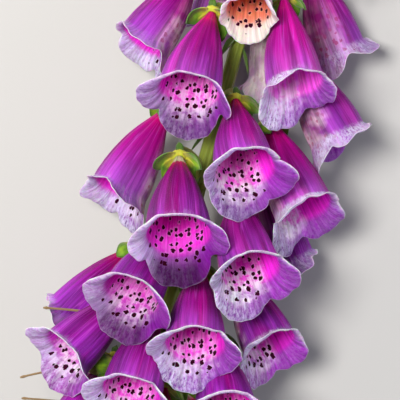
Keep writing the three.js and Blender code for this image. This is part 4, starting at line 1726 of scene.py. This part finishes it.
        # Painted highlights: a few fine light lines run down the tube, standing in for satin sheen on its
        # ridges. Spots show faintly through its wall.
        highlight_lines = add("Mapping", {0: self.flat, "Scale": (0.3, 0.012, 1.0), "Location": (7.0, 3.0, 0.0)})
        highlight_lines = add("TexNoise", {0: highlight_lines, "Scale": 1.0, "Detail": 1.0})
        highlight_lines = add("Math", {0: highlight_lines, 1: 0.5}, operation="SUBTRACT")
        highlight_lines = add("Math", {0: highlight_lines}, operation="ABSOLUTE")
        highlight_lines = add("MapRange", {0: highlight_lines, 1: 0.022, 2: 0.0, 4: 0.42}, **SMOOTH)
        highlight_lines = add("Math", {0: highlight_lines, 1: streak}, operation="MULTIPLY", use_clamp=True)
        shows = self.spot
        for share in (self.blotched, 0.6):
            shows = add("Math", {0: shows, 1: share}, operation="MULTIPLY")
        faded = add("MapRange", {0: self.pale, 1: 0.2, 2: 1.0, 4: 0.75})
        for share, tint in (
            (highlight_lines, finish.line), (self.down, finish.hair), (shows, finish.throat),
            (faded, finish.young),
        ):
            colour = add("Mix", {0: share, 6: colour, 7: tint}, data_type="RGBA")
        return colour

    def inside(self) -> Node:
        """Colours the inside, with its spots.

        Returns:
            The colour's node.
        """
        add, finish = self.add, self.finish
        colour = add("ValToRGB", {0: self.half_way}, stops=[
            (0.14, finish.inner_deep), (0.3, finish.inner), (0.46, finish.inner_mouth),
            (0.6, finish.inner_lobe), (0.95, finish.inner_edge),
        ])
        # The mouth is plum unless the bell is hot. A very hot bell gets a painted glow inside, bright pink
        # standing in for light through the petal.
        cooler = add("MapRange", {0: self.pale, 1: -0.2, 2: 0.2, 4: 0.75})
        at_mouth = add("MapRange", {0: self.drawn, 1: 0.5, 2: 1.0}, **SMOOTH)
        cooler = add("Math", {0: cooler, 1: at_mouth}, operation="MULTIPLY")
        painted_glow = add("MapRange", {0: self.pale, 1: -0.6, 2: -0.9})
        painted_glow = add("Math", {0: painted_glow, 1: self.hotter}, operation="MULTIPLY")

        # The lower wall is blanched in a broken patch, and whiter towards the lip.
        patch = add("MapRange", {0: self.above, 1: -0.3, 2: -0.8}, **SMOOTH)
        toward_lip = add("MapRange", {0: self.way, 1: 0.6, 2: 1.08, 3: 0.26, 4: 1.0}, **SMOOTH)
        for share in (self.zone, toward_lip, self.broken, self.blanch, self.clear):
            patch = add("Math", {0: patch, 1: share}, operation="MULTIPLY", use_clamp=True)

        # Painted light and shade: the left lobe is washed lighter with lilac, as if lit from the left, and
        # the right one deeper with rose, as its shaded side.
        left_lobe_light = add("MapRange", {0: self.aside, 1: -0.45, 2: -0.95, 4: 0.85}, **SMOOTH)
        for share in (self.on_lobe, self.frost):
            left_lobe_light = add("Math", {0: left_lobe_light, 1: share}, operation="MULTIPLY")
        right_lobe_shade = add("MapRange", {0: self.aside, 1: 0.3, 2: 0.85, 4: 0.6}, **SMOOTH)
        right_lobe_shade = add("Math", {0: right_lobe_shade, 1: self.on_lobe}, operation="MULTIPLY")

        # A young bell is creamy, and peach in its throat.
        blush = add("MapRange", {0: self.way, 1: 1.45, 2: 0.85}, **SMOOTH)
        blush = add("Mix", {0: blush, 6: finish.young, 7: finish.blush}, data_type="RGBA")
        faded = add("MapRange", {0: self.pale, 1: 0.2, 2: 0.8})
        for share, tint in (
            (cooler, finish.plum), (painted_glow, finish.painted_glow), (self.shadowed, finish.lobe_shade),
            (patch, finish.patch), (left_lobe_light, finish.wash), (right_lobe_shade, finish.right_lobe_shade), (self.down, finish.hair),
            (faded, blush),
        ):
            colour = add("Mix", {0: share, 6: colour, 7: tint}, data_type="RGBA")
        ribbed = add("MapRange", {0: self.veins, 1: 0.36, 2: 0.64, 3: 0.72, 4: 1.26})
        colour = add("VectorMath", {0: colour, "Scale": ribbed}, operation="SCALE")

        # Each spot has a faint white halo.
        halo = add("MapRange", {0: self.past, 1: 0.2, 2: 0.02, 4: 0.16}, **SMOOTH)
        for share in (self.seen, self.clear, self.clear):
            halo = add("Math", {0: halo, 1: share}, operation="MULTIPLY")
        for share, tint in ((halo, finish.patch), (self.spot, finish.spot)):
            colour = add("Mix", {0: share, 6: colour, 7: tint}, data_type="RGBA")
        return colour

    def rimmed(self, colour: Node) -> Node:
        """Bleaches the rim, in a broad wavering band on the upper lip and a fine line elsewhere.

        Args:
            colour: The petal's colour without its rim.

        Returns:
            The node of the whole colour.
        """
        add = self.add
        band = add("MapRange", {0: self.above, 1: 0.15, 2: 0.8, 3: 0.16, 4: 1.35}, **SMOOTH)
        uneven = add("MapRange", {0: self.soft, 1: 0.3, 2: 0.7, 3: 0.6, 4: 1.5})
        toothed = add("MapRange", {0: self.hairs, 1: 0.35, 2: 0.65, 3: 0.65, 4: 1.35})
        for share in (uneven, toothed):
            band = add("Math", {0: band, 1: share}, operation="MULTIPLY")
        near = add("Math", {0: self.rim, 1: band}, operation="DIVIDE")
        washed = add("MapRange", {0: near, 1: 3.0, 2: 0.4, 4: 0.4}, **SMOOTH)
        # The rim pales less where the lower lobe has painted shade.
        washed = add("Math", {0: washed, 1: self.dimmed}, operation="MULTIPLY")
        bright = add("MapRange", {0: near, 1: 0.95, 2: 0.1, 4: 0.8}, **SMOOTH)
        worn = add("MapRange", {0: self.broken, 1: 0.1, 2: 1.0, 3: 0.45, 4: 1.0})
        for share in (worn, self.dimmed):
            bright = add("Math", {0: bright, 1: share}, operation="MULTIPLY")
        for share, tint in ((washed, self.finish.wash), (bright, self.finish.rim)):
            colour = add("Mix", {0: share, 6: colour, 7: tint}, data_type="RGBA")
        return colour

    def relief(self, cones: Node) -> Node:
        """Raises the veins, the down and the cone-shaped cells.

        Args:
            cones: The pattern of the cells.

        Returns:
            The node that bends the normals.
        """
        add = self.add
        height = add("Math", {0: self.hairs, 1: self.on_lobe}, operation="MULTIPLY")
        height = add("Math", {0: height, 1: 0.5, 2: self.veins}, operation="MULTIPLY_ADD")
        height = add("Math", {0: cones, 1: 0.3, 2: height}, operation="MULTIPLY_ADD")
        return add("Bump", {"Strength": 0.8, "Distance": 0.0006, "Height": height})


@dataclass(frozen=True)
class Leaf:
    """Plant tissue of sepals, stems, buds and dry styles: matt, finely veined and softly downy."""

    name: str
    deep: str  # between the veins and along the edges
    fresh: str  # on the veins
    pale: str  # in patches, and on what is young
    stain: str  # at the tips, and over all that has no cap
    cap: str = "#cfc63a"  # where a sepal starts
    rust: str = "#7a6a10"
    vein_width: float = 0.9  # millimetres between two veins
    patches: float = 0.22  # patches in a millimetre
    hairs: float = 4.5  # hairs in a millimetre
    roughness: float = 0.55
    grain: float = 0.1  # how far the roughness varies each way
    ior: float = 1.42  # wet plant tissue

    def material(self) -> Material:
        """Builds the leaf's nodes.

        Returns:
            The material.
        """
        material, add = new_material(self.name)
        place, tone = (
            add("SeparateXYZ", {0: add("Attribute", attribute_name=label).outputs["Vector"]})
            for label in ("place", "tone")
        )
        flat = add("Attribute", attribute_name="flat").outputs["Vector"]
        across, along, _ = place.outputs
        young, chance, at_cap = tone.outputs
        veins = add("Mapping", {0: flat, "Scale": (1 / self.vein_width, 0.12, 1.0)})
        veins = add("TexNoise", {0: veins, "Scale": 1.0, "Detail": 2.0})
        patches = add("TexNoise", {0: flat, "Scale": self.patches, "Detail": 3.0})
        patchy = add("MapRange", {0: patches, 1: 0.4, 2: 0.72, 4: 0.8})
        rusty = add("MapRange", {0: patches, 1: 0.5, 2: 0.34, 4: 0.55}, **SMOOTH)
        edge = add("Math", {0: across}, operation="ABSOLUTE")
        edge = add("MapRange", {0: edge, 1: 0.4, 2: 0.95, 4: 0.7}, **SMOOTH)
        cap = add("MapRange", {0: along, 1: 0.42, 2: 0.05, 4: 0.9})
        cap = add("Math", {0: cap, 1: at_cap}, operation="MULTIPLY")
        tip = add("MapRange", {0: along, 1: 0.75, 2: 1.0, 4: 0.6})
        no_cap = add("MapRange", {0: at_cap, 1: 0.5, 2: 0.2, 4: 0.8})
        tip = add("Math", {0: tip, 1: no_cap}, operation="MAXIMUM")
        fresh = add("Math", {0: young, 1: 0.6}, operation="MULTIPLY")
        colour = add("ValToRGB", {0: veins}, stops=[(0.3, self.deep), (0.68, self.fresh)])
        for share, tint in (
            (patchy, self.pale), (rusty, self.rust), (edge, self.deep), (cap, self.cap),
            (tip, self.stain), (fresh, self.pale),
        ):
            colour = add("Mix", {0: share, 6: colour, 7: tint}, data_type="RGBA")
        shade = add("MapRange", {0: chance, 3: 0.8, 4: 1.15})
        colour = add("VectorMath", {0: colour, "Scale": shade}, operation="SCALE")
        down = add("TexNoise", {0: flat, "Scale": self.hairs, "Detail": 2.0})
        height = add("Math", {0: veins, 1: down}, operation="ADD")
        low, high = self.roughness - self.grain, self.roughness + self.grain
        shader = add("BsdfPrincipled", {
            "Base Color": colour,
            "Roughness": add("MapRange", {0: down, 3: low, 4: high}),
            "IOR": self.ior,
            "Normal": add("Bump", {"Strength": 0.4, "Distance": 0.0004, "Height": height}),
            "Subsurface Weight": 0.3,
            "Subsurface Radius": (0.5, 0.9, 0.15),
            "Subsurface Scale": 0.001,
            "Sheen Weight": 0.25,
            "Sheen Roughness": 0.5,
            "Sheen Tint": (1.0, 1.0, 0.9, 1.0),
        })
        add("OutputMaterial", {0: shader})
        return material


@dataclass(frozen=True)
class Pollen:
    """Filaments, anthers and style: waxy white threads, and yellow sacs freckled with maroon."""

    name: str = "stamens, waxy tissue and pollen sacs"
    thread: str = "#e9cfe0"
    style: str = "#d9b6cf"
    sac: str = "#e8d28a"
    freckle: str = "#6b2a1f"
    freckles: float = 1.6  # in a millimetre
    grains: float = 9.0  # in a millimetre
    roughness: float = 0.5
    ior: float = 1.45  # wax

    def material(self) -> Material:
        """Builds the nodes.

        Returns:
            The material.
        """
        material, add = new_material(self.name)
        place = add("Attribute", attribute_name="place").outputs["Vector"]
        _, along, part = add("SeparateXYZ", {0: place}).outputs
        flat = add("Attribute", attribute_name="flat").outputs["Vector"]
        freckles = add("TexVoronoi", {0: flat, "Scale": self.freckles})
        freckles = add("MapRange", {0: freckles, 1: 0.22, 2: 0.16, 4: 0.9})
        sac = add("Mix", {0: freckles, 6: self.sac, 7: self.freckle}, data_type="RGBA")
        thread = add("ValToRGB", {0: along}, stops=[(0.0, self.style), (1.0, self.thread)])
        grain = add("TexNoise", {0: flat, "Scale": self.grains})
        shader = add("BsdfPrincipled", {
            "Base Color": add("Mix", {0: part, 6: thread, 7: sac}, data_type="RGBA"),
            "Roughness": self.roughness,
            "IOR": self.ior,
            "Normal": add("Bump", {"Strength": 0.3, "Distance": 0.0002, "Height": grain}),
            "Subsurface Weight": 0.4,
            "Subsurface Radius": (0.8, 0.6, 0.5),
            "Subsurface Scale": 0.001,
        })
        add("OutputMaterial", {0: shader})
        return material


@dataclass(frozen=True)
class TableTop:
    """The plain pale floor: matt painted board with the faintest grain."""

    name: str = "matt painted board"
    colour: str = "#b9babb"
    grains: float = 900.0  # grains of the paint in a metre

    def material(self) -> Material:
        """Builds the nodes.

        Returns:
            The material.
        """
        material, add = new_material(self.name)
        here = add("TexCoord").outputs["Object"]
        grain = add("TexNoise", {0: here, "Scale": self.grains, "Detail": 2.0})
        rough = add("MapRange", {0: grain, 3: 0.72, 4: 0.85})
        shader = add("BsdfPrincipled", {"Base Color": self.colour, "Roughness": rough})
        add("OutputMaterial", {0: shader})
        return material


# ---------------------------------------------------------------- the studio


@dataclass(frozen=True)
class Lamp:
    """A soft square lamp that faces the spike."""

    name: str
    way: tuple[float, float, float]  # towards it: to the right of plumb, along plumb and off the table
    distance: float  # metres from the spike
    size: float  # metres along a side
    power: float  # watts
    colour: str

    def hang(self) -> None:
        """Hangs the lamp in the scene."""
        data = bpy.data.lights.new(self.name, "AREA")
        data.shape = "SQUARE"
        data.size = self.size
        data.energy = self.power
        data.color = linear(self.colour)[:3]
        lamp = bpy.data.objects.new(self.name, data)
        right, up, off = self.way
        way = unit(PLUMB_SIDE * right + PLUMB_UP * up + TABLE_UP * off)
        lamp.location = way * self.distance
        lamp.rotation_mode = "QUATERNION"
        lamp.rotation_quaternion = Vector(way).to_track_quat("Z", "Y")
        bpy.context.scene.collection.objects.link(lamp)


@dataclass(frozen=True)
class Studio:
    """A pale table, soft light and a camera that looks straight down at the showy side."""

    distance: float = 600.0  # from the camera to the stem
    view_width: float = 151.2  # how wide the camera sees at the stem
    aim: tuple[float, float] = (0.97, 0.26)  # from the stem's middle, in the part's own frame
    stem_height: float = 28.0
    sensor: float = 36.0
    clip: tuple[float, float] = (50.0, 10000.0)
    table: float = 4400.0
    sky: str = "#f4f6fb"
    sky_strength: float = 0.26
    lamps: tuple[Lamp, ...] = (
        Lamp("key_lamp", (-0.3, 0.12, 1.0), 1.0, 0.3, 12.0, "#fffaf2"),
        Lamp("top_lamp", (-0.5, 1.2, 0.6), 1.0, 0.3, 4.0, "#fff6ea"),
        Lamp("fill_lamp", (1.1, -0.2, 0.6), 1.1, 0.7, 3.0, "#f3f4ff"),
    )

    def floor(self) -> None:
        """Lays the table top, whose edges lie far out of the camera's view."""
        half = self.table / 2 * MM
        mesh = bpy.data.meshes.new("table_top")
        corners = [(-half, -half, 0), (half, -half, 0), (half, half, 0), (-half, half, 0)]
        mesh.from_pydata(corners, [], [(0, 1, 2, 3)])
        mesh.materials.append(TableTop().material())
        floor = bpy.data.objects.new("table_top", mesh)
        bpy.context.scene.collection.objects.link(floor)

    def camera(self) -> None:
        """Hangs the camera over the spike, turned so that plumb was up while it grew."""
        data = bpy.data.cameras.new("camera")
        data.sensor_width = self.sensor
        data.lens = self.sensor * self.distance / self.view_width
        data.clip_start, data.clip_end = (end * MM for end in self.clip)
        camera = bpy.data.objects.new("camera", data)
        shift = STEM_LINE.shift
        place = np.array([self.aim[0], self.aim[1], self.stem_height + self.distance]) + shift
        camera.location = place * MM
        camera.rotation_euler = (0.0, 0.0, GROWTH_LEAN)
        bpy.context.scene.collection.objects.link(camera)
        bpy.context.scene.camera = camera

    def light(self) -> None:
        """Sets the soft daylight of the studio."""
        world = bpy.data.worlds.new("studio")
        bpy.context.scene.world = world
        world.use_nodes = True
        background = world.node_tree.nodes["Background"]
        background.inputs[0].default_value = linear(self.sky)
        background.inputs[1].default_value = self.sky_strength
        for lamp in self.lamps:
            lamp.hang()
        view = bpy.context.scene.view_settings
        view.view_transform = "Standard"
        view.look = "None"


# Along the stem, off it, round it, facing and nod. The first three lie behind the open bells.
CAPSULES = (
    (-68, 15, -75, -84, 4),
    (-49, 11, -80, -82, -8),
    (-84, 10, -75, -84, -8),
    (-88, 11, 150, 150, 20),
    (-107, 11, -75, -75, 10),
    (-112, 11, 60, 60, 0),
    (-121, 11, -20, -20, -8),
)


def main() -> None:
    """Sets up the studio, then builds the spike from its bells to its tip."""
    logging.basicConfig(level=logging.INFO, format="%(message)s")
    studio = Studio()
    studio.camera()
    studio.floor()
    studio.light()
    petal = Petal().material()
    sepal = Leaf(
        "sepal, downy green leaf", deep="#2a6a06", fresh="#62a608", pale="#9cc41a", stain="#274a08",
    ).material()
    green = Leaf(
        "stem, ridged green rind", deep="#565f0e", fresh="#8d9a18", pale="#a5a028", stain="#7d8f2a",
        vein_width=0.7,
    ).material()
    bud_petal = Leaf(
        "bud petals, pale folded tissue", deep="#a7a862", fresh="#d3d0a2", pale="#e3dcc2", stain="#c9a6b2",
    ).material()
    dry_style = Leaf(
        "style, dry brown thread", deep="#b9a473", fresh="#dccb9c", pale="#ebe0bd", stain="#86663f",
    ).material()
    pollen = Pollen().material()

    seats: dict[int, Seat] = {}
    bells = sorted(int(name[-2:]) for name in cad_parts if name.startswith("corolla_"))
    for number in bells:
        seat = bell_seat(number)
        seats[number] = seat
        habit = habit_of(number, seat.size)
        open_seat = seat.posed(habit.lift, habit.swing, habit.roll)
        Bell(number, open_seat, habit).build(petal)
        Stamens(open_seat, number).build(pollen)
        young = YOUTH if seat.size < SMALL_BELL else 0.0
        Calyx(seat, number).build(number, sepal, young)

    stem = Stem()
    rind, leaves, petals, dry = Skin(), Skin(), Skin(), Skin()
    stem.axis(rind)
    for number, seat in seats.items():
        stem.pedicel(rind, seat, stem.behind_bell * seat.size, number)
        stem.bract(leaves, seat, number)
    for seed, row in enumerate(CAPSULES):
        stem.capsule(rind, leaves, dry, Seat.grown(*row, 1.0), 80 + seed)
    for node in sorted(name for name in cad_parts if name.startswith("bud_")):
        index = int(node[-2:])
        seat, length = bud_seat(node)
        folded, cup = Skin(), Skin()
        ClosedBud(seat, length, 30 + index).grow(folded, cup)
        folded.piece(f"large_bud_{index:02d}", bud_petal, Slot.BUD, (node,))
        cup.piece(f"large_bud_sepals_{index:02d}", sepal, Slot.CALYX)
        stem.pedicel(rind, seat, stem.behind_bud, 40 + index)
    stem.crown(petals, leaves)
    rind.piece("stem_and_stalks", green, Slot.STEM, ("stem",))
    leaves.piece("bracts_and_small_sepals", sepal, Slot.STEM)
    petals.piece("tip_buds", bud_petal, Slot.STEM)
    dry.piece("dry_styles", dry_style, Slot.STEM)


if __name__ == "__main__":
    main()
